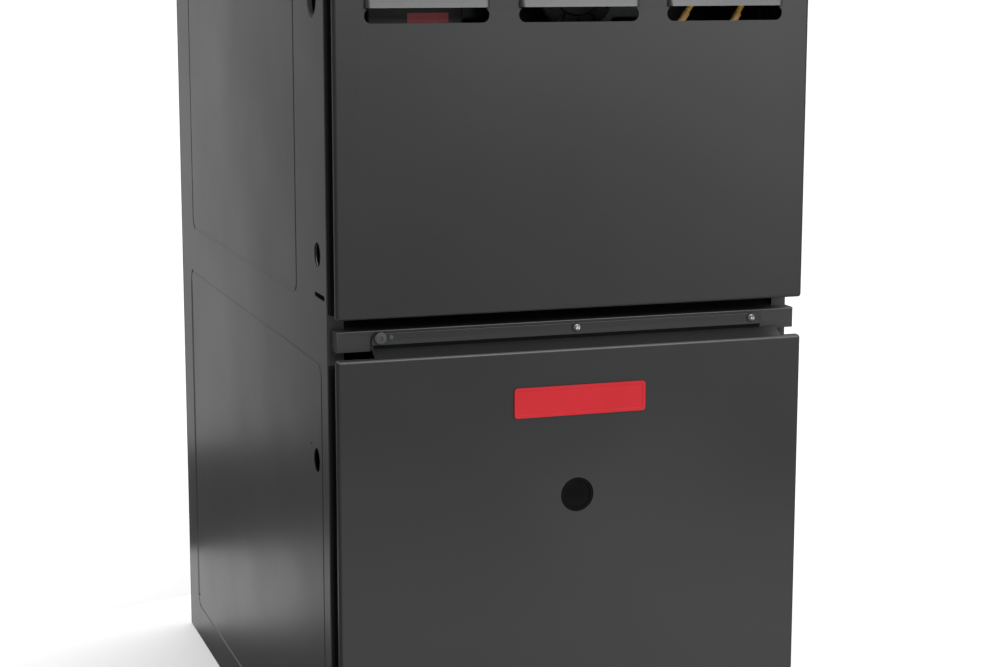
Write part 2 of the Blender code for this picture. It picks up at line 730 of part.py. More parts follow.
def base_panel():
    """The floor of the casing, with the return-air opening and its rim."""
    opening = (
        (RETURN_SIDE_MARGIN - HALF_WIDTH, behind_doors(RETURN_FRONT_MARGIN)),
        (HALF_WIDTH - RETURN_SIDE_MARGIN, REAR - RETURN_REAR_MARGIN),
    )
    outer = rectangle((-INNER_HALF, INNER_FRONT), (INNER_HALF, INNER_REAR))
    panel = plate("base_panel", [outer, rectangle(*opening)], SHEET, "Z", SHEET / 2, PAINT)
    rim = plate(
        "return_rim", [rectangle(*grown(*opening, SHEET)), rectangle(*opening)],
        RETURN_RIM_HEIGHT, "Z", (RETURN_RIM_HEIGHT + SHEET) / 2,
    )
    upstand = box(
        "base_upstand",
        (-INNER_HALF, INNER_FRONT, SHEET / 2),
        (INNER_HALF, INNER_FRONT + SHEET, BASE_UPSTAND),
    )
    join(panel, rim, upstand)


def blower_outlet():
    """The corners of the deck's opening, which the blower blows up through."""
    outline = scroll((BLOWER_Y, BLOWER_Z), BLOWER_START_RADIUS, BLOWER_END_RADIUS, BLOWER_TOP)
    half = BLOWER_HALF_WIDTH - SHEET
    return (-half, outline[0][0] + SHEET), (half, outline[-1][0] - SHEET)


def blower_deck():
    """The shelf between the blower and the heat exchanger."""
    outer = rectangle((-INNER_HALF, INNER_FRONT), (INNER_HALF, INNER_REAR))
    outlines = [outer, rectangle(*blower_outlet())]
    plate("blower_deck", outlines, SHEET, "Z", DECK_TOP - SHEET / 2, GALVANISED)


def door_screw_place(side):
    return DOOR_SCREW_PLACES[side], DECK_TOP - DOOR_SCREW_DROP


def screw_holes(name, middle):
    """Holes for the three door screws, through sheets near one depth."""
    outlines = [
        circle(door_screw_place(side), around(DOOR_SCREW_SHANK, 12), 12)
        for side in DOOR_SCREW_PLACES
    ]
    return plate(name, outlines, 6 * SHEET, "Y", middle)


def front_rail():
    """The rail across the casing's front, between the doors."""
    face = behind_doors(RAIL_SETBACK)
    rail = pan(
        "front_rail",
        (-HALF_WIDTH, face, RAIL_TOP - RAIL_HEIGHT),
        (HALF_WIDTH, behind_doors(DOOR_DEPTH) - GAP, RAIL_TOP),
        [(0, 1, 0)], PAINT,
    )
    tongue_half = HALF_WIDTH - EDGE_FLANGE - GAP
    tongue = box(
        "rail_tongue",
        (-tongue_half, face + SHEET / 2, RAIL_TOP - SHEET),
        (tongue_half, INNER_FRONT + RAIL_TONGUE, RAIL_TOP),
    )
    join(rail, tongue)
    cut(rail, screw_holes("rail_screw_holes", face))


def vestibule_panel():
    """The wall in front of the heat exchanger, with a hole for each tube end."""
    outlines = [rectangle((-INNER_HALF, DECK_TOP + GAP), (INNER_HALF, WALL_TOP))]
    for z in (BURNER_Z, OUTLET_Z):
        outlines += [circle((x, z), TUBE_BORE, 16) for x in TUBE_XS]
    outlines.append(circle((0, LIMIT_Z), around(LIMIT_STEM_RADIUS, 16), 16))
    plate("vestibule_panel", outlines, SHEET, "Y", PANEL_FRONT + SHEET / 2, GALVANISED)


def door_shell(name, bottom, top):
    """A door's outer skin with the frame behind it, which closes on the casing."""
    skin = pan(
        name,
        (-HALF_WIDTH, DOOR_FACE, bottom),
        (HALF_WIDTH, DOOR_FACE + DOOR_SKIN_DEPTH, top),
        [(0, 1, 0)], DOOR_PAINT, DOOR_EDGE_RADIUS,
    )
    low = (DOOR_FRAME_INSET - HALF_WIDTH, bottom + DOOR_FRAME_INSET)
    high = (HALF_WIDTH - DOOR_FRAME_INSET, top - DOOR_FRAME_INSET)
    front = DOOR_FACE + SHEET / 2
    rear = DOOR_FACE + DOOR_DEPTH - GAP
    frame = plate(
        name + "_frame", [rectangle(low, high), rectangle(*grown(low, high, -SHEET))],
        rear - front, "Y", (front + rear) / 2,
    )
    return join(skin, frame)


def louvers():
    """Each louver's middle and the height of the top of its slot."""
    first = CASING_HEIGHT - LOUVER_DROP
    rows = (first, first + LOUVER_ROW_PITCH)
    return [(column * LOUVER_COLUMN_PITCH, z) for z in rows for column in (-1, 0, 1)]


def hood(name, x, slot_top, inset):
    """One louver hood: a wedge that leans out over its slot."""
    face = DOOR_FACE + SHEET / 2 + 2 * inset
    lip = DOOR_FACE - LOUVER_PROJECTION + inset
    foot = slot_top - inset
    peak = slot_top + LOUVER_HOOD_HEIGHT - inset
    outline = [(face, foot), (lip, foot), (lip, foot + SHEET), (face, peak)]
    return plate(name, [outline], LOUVER_WIDTH - 2 * inset, "X", x)


def upper_door():
    """The vestibule's door, with rows of louvers that let in air for the burners."""
    bottom = DECK_TOP + UPPER_DOOR_RISE
    door = door_shell("upper_door", bottom, CASING_HEIGHT - UPPER_DOOR_DROP)
    slots = []
    hollows = []
    for i, (x, z) in enumerate(louvers()):
        slot_top = z + LOUVER_SLOT_HEIGHT / 2
        join(door, hood(f"louver_hood_{i}", x, slot_top, 0))
        hollows.append(hood(f"louver_hollow_{i}", x, slot_top, SHEET))
        half = LOUVER_WIDTH / 2
        low = (x - half, z - LOUVER_SLOT_HEIGHT / 2)
        slots.append(rounded(low, (x + half, slot_top), LOUVER_SLOT_HEIGHT / 2 - GAP))
    openings = plate("louver_slots", slots, 3 * SHEET, "Y", DOOR_FACE + SHEET / 2)
    cut(door, *hollows, openings)


def lower_door():
    """The blower's door. Its top slopes up to a folded lip, which takes the screws."""
    door = door_shell("lower_door", LOWER_DOOR_RISE, LOWER_DOOR_TOP)
    half = SCREW_LIP_WIDTH / 2
    lip_foot = LOWER_DOOR_TOP + SCREW_LIP_RISE
    front = DOOR_FACE + DOOR_EDGE_RADIUS
    crease = lip_foot - SHEET
    sloped = [
        (front, LOWER_DOOR_TOP - SHEET),
        (LIP_BACK - GAP, crease - SHEET),
        (LIP_BACK - GAP, lip_foot + SHEET),
        (LIP_BACK - GAP - SHEET, lip_foot + SHEET),
        (LIP_BACK - GAP - SHEET, crease),
        (front, LOWER_DOOR_TOP),
    ]
    top_return = plate("door_top_return", [sloped], SCREW_LIP_WIDTH - GAP, "X", SCREW_LIP_OFFSET)
    outline = rounded(
        (SCREW_LIP_OFFSET - half, lip_foot),
        (SCREW_LIP_OFFSET + half, lip_foot + SCREW_LIP_HEIGHT), SCREW_LIP_CORNER,
    )
    lip = plate("screw_lip", [outline], SCREW_HEM, "Y", LIP_BACK - SCREW_HEM / 2)
    join(door, top_return, lip)
    centre = (SIGHT_HOLE_OFFSET, LOWER_DOOR_TOP - SIGHT_HOLE_DROP)
    round_hole = circle(centre, SIGHT_HOLE_DIAMETER / 2)
    hole = plate("sight_hole", [round_hole], 4 * SHEET, "Y", DOOR_FACE + SHEET / 2)
    cut(door, hole, screw_holes("lip_screw_holes", LIP_BACK))


def door_screws():
    """The screws that hold the lower door's lip to the rail."""
    for side, head_radius in DOOR_SCREW_HEADS.items():
        x, z = door_screw_place(side)
        seat = LIP_BACK - SCREW_HEM - GAP
        crown = SCREW_WASHER_THICKNESS + SCREW_HEAD_HEIGHT
        profile = [
            (0, DOOR_SCREW_LENGTH),
            (DOOR_SCREW_SHANK, DOOR_SCREW_LENGTH),
            (DOOR_SCREW_SHANK, 0),
            (head_radius, 0),
            (head_radius, -SCREW_WASHER_THICKNESS),
            (head_radius * SCREW_HEAD_SHARE, -SCREW_WASHER_THICKNESS),
            (head_radius * SCREW_HEAD_SHARE, -crown),
            (0, -crown),
        ]
        turned(f"door_screw_{side}", profile, (x, seat, z), (0, 1, 0), ZINC_SCREW, 12, False)


def badge_plate():
    z = LOWER_DOOR_TOP - BADGE_DROP
    low = (BADGE_OFFSET - BADGE_WIDTH / 2, z - BADGE_HEIGHT / 2)
    high = (BADGE_OFFSET + BADGE_WIDTH / 2, z + BADGE_HEIGHT / 2)
    middle = DOOR_FACE - GAP - BADGE_THICKNESS / 2
    outline = rounded(low, high, 2 * BADGE_THICKNESS)
    plate("badge_plate", [outline], BADGE_THICKNESS, "Y", middle, RED_VINYL)


def sight_glass():
    """A lens that snaps into the lower door from behind, with a flange inside the skin."""
    radius = SIGHT_HOLE_DIAMETER / 2 - GAP
    back = SHEET + GAP
    profile = [
        (0, back + LENS_FLANGE_THICKNESS),
        (radius + LENS_FLANGE_WIDTH, back + LENS_FLANGE_THICKNESS),
        (radius + LENS_FLANGE_WIDTH, back),
        (radius, back),
        (radius, GAP),
        (radius - LENS_RIM_WIDTH, GAP),
        (radius - LENS_RIM_WIDTH, GAP + LENS_RIM_HEIGHT),
        (0, GAP + LENS_RIM_HEIGHT),
    ]
    place = (SIGHT_HOLE_OFFSET, DOOR_FACE, LOWER_DOOR_TOP - SIGHT_HOLE_DROP)
    turned("sight_glass", profile, place, (0, 1, 0), LENS, 24, False)


def serpentine(x):
    """The middle line of one tube, from the burner end back and forth to the upper end."""
    start = PANEL_FRONT + SHEET + GAP
    rise = (OUTLET_Z - BURNER_Z) / (TUBE_PASSES - 1)
    reach = TUBE_RADIUS + rise / 2
    ends = (REAR - TUBE_REAR_CLEARANCE - reach, start + TUBE_FRONT_CLEARANCE + reach)
    points = [(start, BURNER_Z)]
    for i in range(TUBE_PASSES - 1):
        centre = (ends[i % 2], BURNER_Z + (i + 0.5) * rise)
        turn = 1 if i % 2 == 0 else -1
        points += [
            (centre[0] + turn * rise / 2 * math.cos(a), centre[1] + rise / 2 * math.sin(a))
            for a in [math.radians(-90 + 180 * j / 6) for j in range(7)]
        ]
    points.append((start, OUTLET_Z))
    return [(x, y, z) for y, z in points]


def heat_tubes():
    for i, x in enumerate(TUBE_XS):
        tube = pipe(f"heat_tube_{i + 1}", serpentine(x), TUBE_RADIUS, ALUMINISED)
        for label, z in (("inlet", BURNER_Z), ("outlet", OUTLET_Z)):
            bore = rod(
                f"tube_{label}_{i + 1}", (x, PANEL_FRONT, z), (0, 1, 0),
                TUBE_BORE, TUBE_MOUTH_DEPTH, sides=16,
            )
            cut(tube, bore)


def collector_box():
    """Gathers the gas from the upper tube ends for the inducer."""
    reach = TUBE_RADIUS + COLLECTOR_MARGIN
    box_front = PANEL_FRONT - COLLECTOR_DEPTH
    collector = pan(
        "collector_box",
        (TUBE_XS[0] - reach, box_front, OUTLET_Z - reach),
        (TUBE_XS[-1] + reach, PANEL_FRONT - GAP, OUTLET_Z + reach),
        [(0, 1, 0)], ALUMINISED, COLLECTOR_FOLD,
    )
    eye = rod(
        "collector_eye", (INDUCER_OFFSET, box_front - SHEET, OUTLET_Z), (0, 1, 0),
        INDUCER_EYE_DIAMETER / 2, 3 * SHEET,
    )
    cut(collector, eye)


def inducer_housing():
    """The exhaust fan's scroll, open at its neck, its eye and its shaft hole."""
    centre = (INDUCER_OFFSET, OUTLET_Z)
    top = OUTLET_Z + INDUCER_NECK_HEIGHT
    middle = (INDUCER_FRONT + INDUCER_BACK) / 2
    radii = (INDUCER_START_RADIUS, INDUCER_END_RADIUS)
    outside = scroll(centre, *radii, top)
    housing = plate("inducer_housing", [outside], INDUCER_DEPTH, "Y", middle, BLACK_PAINT)
    inside = scroll(centre, *radii, top + INDUCER_WALL, INDUCER_WALL)
    hollow = plate("inducer_hollow", [inside], INDUCER_DEPTH - 2 * INDUCER_WALL, "Y", middle)
    eye = rod(
        "inducer_eye", (INDUCER_OFFSET, INDUCER_BACK - 2 * INDUCER_WALL, OUTLET_Z), (0, 1, 0),
        INDUCER_EYE_DIAMETER / 2, 4 * INDUCER_WALL,
    )
    shaft_hole = rod(
        "inducer_shaft_hole", (INDUCER_OFFSET, INDUCER_FRONT - INDUCER_WALL, OUTLET_Z), (0, 1, 0),
        INDUCER_SHAFT_DIAMETER / 2 + 3 * GAP, 4 * INDUCER_WALL, sides=12,
    )
    cut(housing, hollow, eye, shaft_hole)


def blade_star(centre, inner, outer, thickness, blades):
    """A hub with straight blades, as one outline."""
    points = []
    for i in range(blades):
        angle = 2 * math.pi * i / blades
        half_in = math.asin(thickness / 2 / inner)
        half_out = math.asin(thickness / 2 / outer)
        corners = ((inner, -half_in), (outer, -half_out), (outer, half_out), (inner, half_in))
        for radius, turn in corners:
            across = centre[0] + radius * math.cos(angle + turn)
            along = centre[1] + radius * math.sin(angle + turn)
            points.append((across, along))
    return points


def inducer_wheel():
    """The wheel and its shaft turn together on the inducer's axis."""
    radius = INDUCER_WHEEL_DIAMETER / 2
    wheel_front = INDUCER_FRONT + 4 * INDUCER_WALL
    wheel_rear = wheel_front + INDUCER_WHEEL_DEPTH
    centre = (INDUCER_OFFSET, OUTLET_Z)
    star = blade_star(
        centre, INDUCER_HUB_RADIUS, radius - 2 * SHEET, INDUCER_BLADE_THICKNESS, INDUCER_BLADES
    )
    blades_front = wheel_front + SHEET / 2
    blades = plate(
        "inducer_blades", [star], wheel_rear - blades_front, "Y", (blades_front + wheel_rear) / 2
    )
    axis = (INDUCER_OFFSET, wheel_front, OUTLET_Z)
    wheel = rod("inducer_wheel", axis, (0, 1, 0), radius, 1.5 * SHEET, ALUMINISED, 30)
    join(wheel, blades)
    bore_start = (INDUCER_OFFSET, wheel_front - SHEET, OUTLET_Z)
    bore = rod(
        "inducer_wheel_bore", bore_start, (0, 1, 0),
        around(INDUCER_SHAFT_DIAMETER / 2, 12), INDUCER_HUB_LENGTH, sides=12,
    )
    cut(wheel, bore)
    shaft_start = INDUCER_FRONT - MOTOR_STANDOFF - INDUCER_MOTOR_BORE
    shaft_end = bore_start[1] + INDUCER_HUB_LENGTH - GAP
    rod(
        "inducer_shaft", (INDUCER_OFFSET, shaft_start, OUTLET_Z), (0, 1, 0),
        INDUCER_SHAFT_DIAMETER / 2, shaft_end - shaft_start, STEEL_SHAFT, 12,
    )


def inducer_motor():
    """A round motor on a boss, with a hole for its shaft."""
    length = MOTOR_STANDOFF + INDUCER_MOTOR_LENGTH
    radius = INDUCER_MOTOR_DIAMETER / 2
    bore = around(INDUCER_SHAFT_DIAMETER / 2, 24)
    hole_end = INDUCER_MOTOR_LENGTH - INDUCER_MOTOR_BORE - GAP
    profile = [
        (bore, length - GAP),
        (MOTOR_BOSS_RADIUS, length - GAP),
        (MOTOR_BOSS_RADIUS, INDUCER_MOTOR_LENGTH),
        (radius, INDUCER_MOTOR_LENGTH - INDUCER_MOTOR_EDGE),
        (radius, 2 * INDUCER_MOTOR_EDGE),
        (radius * 0.8, 0.0),
        (0, 0.0),
        (0, hole_end),
        (bore, hole_end),
    ]
    start = (INDUCER_OFFSET, INDUCER_FRONT - length, OUTLET_Z)
    turned("inducer_motor", profile, start, (0, 1, 0), BLACK_PAINT, 24)


def vent_collar():
    """The vent's start: it stands on the inducer's neck and passes out of the casing's top."""
    x, y = vent_place()
    foot = OUTLET_Z + INDUCER_NECK_HEIGHT + GAP
    radius = VENT_DIAMETER / 2
    top = CASING_HEIGHT + VENT_STANDS_OUT - foot
    profile = [
        (radius, top),
        (radius, VENT_FOOT_THICKNESS),
        (radius + VENT_FOOT_WIDTH, VENT_FOOT_THICKNESS),
        (radius + VENT_FOOT_WIDTH, 0.0),
        (radius - SHEET, 0.0),
        (radius - SHEET, top),
    ]
    turned("vent_collar", profile, (x, y, foot), (0, 0, 1), GALVANISED, 28)


def burners():
    """In-shot burners: an open mouth, a throat and a head against the vestibule panel."""
    length = VESTIBULE_DEPTH - BURNER_SETBACK - GAP
    collar_end = BURNER_MOUTH_LENGTH + BURNER_COLLAR_LENGTH
    throat = collar_end + BURNER_TAPER_LENGTH
    head = length - BURNER_HEAD_LENGTH
    flare = head - BURNER_FLARE_LENGTH
    outer = [
        (BURNER_HEAD_RADIUS, length),
        (BURNER_HEAD_RADIUS, head),
        (BURNER_THROAT_RADIUS, flare),
        (BURNER_THROAT_RADIUS, throat),
        (BURNER_COLLAR_RADIUS, collar_end),
        (BURNER_COLLAR_RADIUS, BURNER_MOUTH_LENGTH),
        (BURNER_MOUTH_RADIUS, 0.0),
    ]
    inner = [
        (BURNER_MOUTH_RADIUS - BURNER_WALL, 0.0),
        (BURNER_THROAT_RADIUS - BURNER_WALL, throat),
        (BURNER_THROAT_RADIUS - BURNER_WALL, flare),
        (BURNER_HEAD_RADIUS - BURNER_WALL, head),
        (BURNER_HEAD_RADIUS - BURNER_WALL, length),
    ]
    for i, x in enumerate(TUBE_XS):
        place = (x, behind_doors(BURNER_SETBACK), BURNER_Z)
        turned(f"burner_{i + 1}", outer + inner, place, (0, 1, 0), ALUMINISED, 12)


def burner_bracket():
    """A tray that carries the burners and the manifold in holes through its walls."""
    shelf = BURNER_Z - SHELF_DROP
    front = MANIFOLD_Y - MANIFOLD_RADIUS - 3 * SHEET
    tray = pan(
        "burner_bracket",
        (-BRACKET_HALF, front, shelf),
        (BRACKET_HALF, PANEL_FRONT - GAP, shelf + BRACKET_SIDE_HEIGHT),
        [(0, 0, 1), (0, -1, 0)], GALVANISED,
    )
    outline = rectangle(
        (SHEET / 2 - BRACKET_HALF, shelf + SHEET / 2),
        (BRACKET_HALF - SHEET / 2, shelf + BRACKET_SIDE_HEIGHT),
    )
    collars = [circle((x, BURNER_Z), around(BURNER_COLLAR_RADIUS, 12), 12) for x in TUBE_XS]
    upright_y = behind_doors(BURNER_SETBACK) + BURNER_MOUTH_LENGTH + BURNER_COLLAR_LENGTH / 2
    upright = plate("burner_upright", [outline] + collars, SHEET, "Y", upright_y)
    heads = plate(
        "burner_head_holes",
        [circle((x, BURNER_Z), around(BURNER_HEAD_RADIUS, 12), 12) for x in TUBE_XS],
        6 * SHEET, "Y", PANEL_FRONT,
    )
    manifold_hole = rod(
        "manifold_holes", (-BRACKET_HALF - SHEET, MANIFOLD_Y, BURNER_Z), (1, 0, 0),
        around(MANIFOLD_RADIUS, 12), 2 * BRACKET_HALF + 2 * SHEET, sides=12,
    )
    join(tray, upright)
    cut(tray, heads, manifold_hole)


def gas_manifold():
    """The pipe from the valve to the burners, with a brass spud for each and a plugged end."""
    end = BRACKET_HALF + MANIFOLD_OVERHANG
    centre = (VALVE_X + MANIFOLD_BEND, BURNER_Z + MANIFOLD_BEND)
    bend = [(x, MANIFOLD_Y, z) for x, z in arc(centre, MANIFOLD_BEND, 180, 270, 4)]
    top = GAS_Z - VALVE_BELOW_INLET - VALVE_BOSS_LENGTH - GAP
    points = [(VALVE_X, MANIFOLD_Y, top)] + bend + [(end, MANIFOLD_Y, BURNER_Z)]
    manifold = pipe("gas_manifold", points, MANIFOLD_RADIUS, BLACK_PAINT, 3)
    spud_length = behind_doors(BURNER_SETBACK) + SPUD_REACH - MANIFOLD_Y
    for i, x in enumerate(TUBE_XS):
        start = (x, MANIFOLD_Y, BURNER_Z)
        join(manifold, rod(f"spud_{i + 1}", start, (0, 1, 0), SPUD_RADIUS, spud_length, sides=8))
    plug_start = (end - SHEET, MANIFOLD_Y, BURNER_Z)
    plug = rod("manifold_plug", plug_start, (1, 0, 0), PLUG_RADIUS, PLUG_LENGTH, sides=6)
    join(manifold, plug)


def gas_valve():
    """The gas valve: its inlet faces the hole in the casing side, its outlet the manifold."""
    bottom = GAS_Z - VALVE_BELOW_INLET
    top = GAS_Z + VALVE_ABOVE_INLET
    half = VALVE_WIDTH / 2
    body = box(
        "gas_valve",
        (VALVE_X - half, VALVE_FRONT, bottom),
        (VALVE_X + half, VALVE_FRONT + VALVE_DEPTH, top),
        CAST_ALUMINIUM,
    )
    outlet = rod(
        "valve_outlet", (VALVE_X, MANIFOLD_Y, bottom + SHEET), (0, 0, -1),
        OUTLET_BOSS_RADIUS, VALVE_BOSS_LENGTH + SHEET, sides=12,
    )
    inlet = rod(
        "valve_inlet", (VALVE_X - half + SHEET, behind_doors(GAS_HOLE_SETBACK), GAS_Z), (-1, 0, 0),
        GAS_HOLE_DIAMETER / 2, VALVE_BOSS_LENGTH, sides=8,
    )
    regulator = rod(
        "valve_regulator", (VALVE_X + half / 2, VALVE_FRONT + VALVE_DEPTH * 0.6, top - SHEET),
        (0, 0, 1), REGULATOR_RADIUS, REGULATOR_HEIGHT + SHEET, sides=16,
    )
    operator = box(
        "valve_operator",
        (VALVE_X - half * 0.8, VALVE_FRONT + VALVE_DEPTH * 0.2, top - SHEET),
        (VALVE_X, VALVE_FRONT + VALVE_DEPTH * 0.8, top + OPERATOR_HEIGHT),
    )
    join(body, outlet, inlet, regulator, operator)


def gas_valve_knob():
    """The on and off knob on the valve's front, with a finger bar."""
    x = VALVE_X + VALVE_WIDTH / 4
    y = VALVE_FRONT - GAP
    z = GAS_Z - VALVE_BELOW_INLET + KNOB_RISE
    knob = rod("gas_valve_knob", (x, y, z), (0, -1, 0), KNOB_RADIUS, KNOB_HEIGHT / 2, BLACK_PLASTIC)
    bar_half = KNOB_RADIUS * 0.95
    bar = box(
        "knob_bar",
        (x - KNOB_BAR_WIDTH / 2, y - KNOB_HEIGHT, z - bar_half),
        (x + KNOB_BAR_WIDTH / 2, y - KNOB_HEIGHT * 0.4, z + bar_half),
    )
    join(knob, bar)


def igniter():
    """A ceramic block on the shelf with its hot surface in front of the last burner."""
    shelf = BURNER_Z - SHELF_DROP + SHEET + GAP
    right = TUBE_XS[-1] - BURNER_THROAT_RADIUS - IGNITER_CLEARANCE
    y = PANEL_FRONT - SENSOR_SETBACK
    high = (right, y + IGNITER_DEPTH, shelf + IGNITER_HEIGHT)
    block = box("igniter", (right - IGNITER_WIDTH, y, shelf), high, CERAMIC)
    middle = right - IGNITER_WIDTH / 2
    foot = shelf + IGNITER_BLADE_RISE
    half = IGNITER_BLADE_WIDTH / 2
    tip = PANEL_FRONT - SENSOR_TIP_GAP
    blade = box(
        "igniter_blade",
        (middle - half, y + IGNITER_DEPTH / 2, foot),
        (middle + half, tip, foot + IGNITER_BLADE_THICKNESS),
    )
    join(block, blade)


def flame_sensor():
    """A metal rod in a ceramic holder, beside the first burner."""
    shelf = BURNER_Z - SHELF_DROP + SHEET + GAP
    left = TUBE_XS[0] + BURNER_THROAT_RADIUS + HOLDER_CLEARANCE
    y = PANEL_FRONT - SENSOR_SETBACK
    high = (left + HOLDER_WIDTH, y + HOLDER_DEPTH, shelf + HOLDER_HEIGHT)
    holder = box("flame_sensor", (left, y, shelf), high, CERAMIC)
    start = (left + HOLDER_WIDTH / 2, y + HOLDER_DEPTH / 2, shelf + FLAME_ROD_RISE)
    length = PANEL_FRONT - SENSOR_TIP_GAP - start[1]
    feeler = rod("flame_rod", start, (0, 1, 0), FLAME_ROD_RADIUS, length, sides=8)
    join(holder, feeler)


def rollout_switch():
    """A round heat switch above the burners, with a button that is pushed to reset it."""
    depth = ROLLOUT_DEPTH
    bore_depth = ROLLOUT_BORE_DEPTH
    radius = ROLLOUT_RADIUS
    profile = [
        (around(RESET_RADIUS, 16), depth),
        (radius * 0.5, depth),
        (radius * 0.5, depth * 0.5),
        (radius, depth * 0.5),
        (radius, 0.0),
        (0, 0.0),
        (0, depth - bore_depth),
        (around(RESET_RADIUS, 16), depth - bore_depth),
    ]
    place = (ROLLOUT_OFFSET, PANEL_FRONT - GAP, ROLLOUT_Z)
    turned("rollout_switch", profile, place, (0, -1, 0), GALVANISED, 16)
    start = depth - bore_depth + RESET_TRAVEL + GAP
    rod(
        "rollout_reset_button", (ROLLOUT_OFFSET, PANEL_FRONT - GAP - start, ROLLOUT_Z), (0, -1, 0),
        RESET_RADIUS, bore_depth + RESET_TRAVEL, RED_BUTTON, 12,
    )


def limit_switch():
    """A heat switch whose stem reaches through the panel, between the tubes."""
    profile = [
        (0, LIMIT_BODY_DEPTH),
        (LIMIT_BODY_RADIUS, LIMIT_BODY_DEPTH),
        (LIMIT_BODY_RADIUS, LIMIT_FLANGE_THICKNESS),
        (LIMIT_FLANGE_RADIUS, LIMIT_FLANGE_THICKNESS),
        (LIMIT_FLANGE_RADIUS, 0.0),
        (LIMIT_STEM_RADIUS, 0.0),
        (LIMIT_STEM_RADIUS, -LIMIT_STEM_LENGTH),
        (0, -LIMIT_STEM_LENGTH),
    ]
    place = (0, PANEL_FRONT - GAP, LIMIT_Z)
    turned("limit_switch", profile, place, (0, -1, 0), BLACK_PLASTIC, 16, False)


def pressure_switch():
    """A round diaphragm switch with a barb for its hose."""
    radius = PRESSURE_SWITCH_RADIUS
    depth = PRESSURE_SWITCH_DEPTH
    profile = [
        (0, depth + BARB_LENGTH),
        (HOSE_RADIUS, depth + BARB_LENGTH),
        (HOSE_RADIUS, depth),
        (radius * 0.55, depth),
        (radius * 0.60, depth * 0.7),
        (radius, depth * 0.6),
        (radius, depth * 0.35),
        (radius * 0.9, 0.0),
        (0, 0.0),
    ]
    place = (PRESSURE_SWITCH_OFFSET, PANEL_FRONT - GAP, PRESSURE_SWITCH_Z)
    turned("pressure_switch", profile, place, (0, -1, 0), GREY_PLASTIC, 20, False)


def route(start, knots, height):
    """Points from a switch's face or barb through the knots, which are read above a height."""
    lead = (start[0], start[1] - WIRE_LEAD, start[2])
    return [start, lead] + [(x, behind_doors(setback), height + rise) for x, setback, rise in knots]


def pressure_hose():
    """From the pressure switch's barb to the front of the collector box."""
    barb = PANEL_FRONT - 2 * GAP - PRESSURE_SWITCH_DEPTH - BARB_LENGTH
    start = (PRESSURE_SWITCH_OFFSET, barb, PRESSURE_SWITCH_Z)
    tap = PANEL_FRONT - COLLECTOR_DEPTH - GAP
    tap_x = TUBE_XS[-1] + TUBE_RADIUS / 2
    knots = route(start, HOSE_ROUTE, PRESSURE_SWITCH_Z)
    knots += [(tap_x, tap - WIRE_LEAD, OUTLET_Z), (tap_x, tap, OUTLET_Z)]
    pipe("pressure_hose", smooth_route(knots), HOSE_RADIUS, RUBBER)


def switch_terminal(side):
    """Where a wire meets the pressure switch's face, and the start of its run from there."""
    face = PANEL_FRONT - 2 * GAP - PRESSURE_SWITCH_DEPTH
    x = PRESSURE_SWITCH_OFFSET + side * SWITCH_TERMINAL_OFFSET
    z = PRESSURE_SWITCH_Z + SWITCH_TERMINAL_OFFSET
    return [(x, face - WIRE_LEAD, z), (x, face, z)]


def control_wires():
    """The yellow wires that rise behind the door to the pressure switch."""
    limit = (LIMIT_TERMINAL_OFFSET, PANEL_FRONT - LIMIT_BODY_DEPTH - 3 * GAP, LIMIT_Z)
    knots = route(limit, LIMIT_WIRE_ROUTE, LIMIT_Z) + switch_terminal(-1)
    pipe("limit_wire", smooth_route(knots, 2), WIRE_RADIUS, YELLOW_WIRE)
    across = ROLLOUT_OFFSET + ROLLOUT_RADIUS * 0.85
    rollout = (across, PANEL_FRONT - ROLLOUT_DEPTH * 0.5 - 3 * GAP, ROLLOUT_Z)
    knots = route(rollout, ROLLOUT_WIRE_ROUTE, ROLLOUT_Z) + switch_terminal(1)
    pipe("rollout_wire", smooth_route(knots, 2), WIRE_RADIUS, YELLOW_WIRE)


def blower_scroll_outline(inset=0.0):
    return scroll(
        (BLOWER_Y, BLOWER_Z), BLOWER_START_RADIUS, BLOWER_END_RADIUS, BLOWER_TOP, inset
    )


def blower_side(name, side):
    """A side plate of the blower, with its air inlet and the flange that hangs on a rail."""
    inlet = circle((BLOWER_Y, BLOWER_Z), BLOWER_EYE_RADIUS)
    middle = side * (BLOWER_HALF_WIDTH - SHEET / 2)
    wall = plate(name, [blower_scroll_outline(), inlet], SHEET, "X", middle, GALVANISED)
    outlet_low, outlet_high = blower_outlet()
    inner = side * (BLOWER_HALF_WIDTH - SHEET / 2)
    outer = side * (BLOWER_HALF_WIDTH + BLOWER_FLANGE)
    flange = box(
        name + "_flange",
        (min(inner, outer), outlet_low[1], BLOWER_TOP - SHEET),
        (max(inner, outer), outlet_high[1], BLOWER_TOP),
    )
    return join(wall, flange)


def blower_scroll():
    """The blower's curved wall, between its side plates."""
    outer = blower_scroll_outline()
    inner = blower_scroll_outline(SHEET)
    inner[-1] = (inner[-2][0], BLOWER_TOP)
    width = 2 * (BLOWER_HALF_WIDTH - SHEET - GAP)
    plate("blower_scroll", [outer + inner[::-1]], width, "X", 0, GALVANISED)


def blower_rail(name, side):
    """A rail under the deck, whose lip carries the blower's flange."""
    flange_end = BLOWER_HALF_WIDTH + BLOWER_FLANGE
    web = flange_end + 3 * SHEET
    under = BLOWER_TOP - SHEET - GAP
    outline = [
        (side * (web + RAIL_WIDTH), BLOWER_TOP),
        (side * web, BLOWER_TOP),
        (side * web, under),
        (side * (web - RAIL_LIP), under),
        (side * (web - RAIL_LIP), under - SHEET),
        (side * (web + SHEET), under - SHEET),
        (side * (web + SHEET), BLOWER_TOP - SHEET),
        (side * (web + RAIL_WIDTH), BLOWER_TOP - SHEET),
    ]
    outlet_low, outlet_high = blower_outlet()
    middle = (outlet_low[1] + outlet_high[1]) / 2
    plate(name, [outline], RAIL_LENGTH, "Y", middle, GALVANISED)


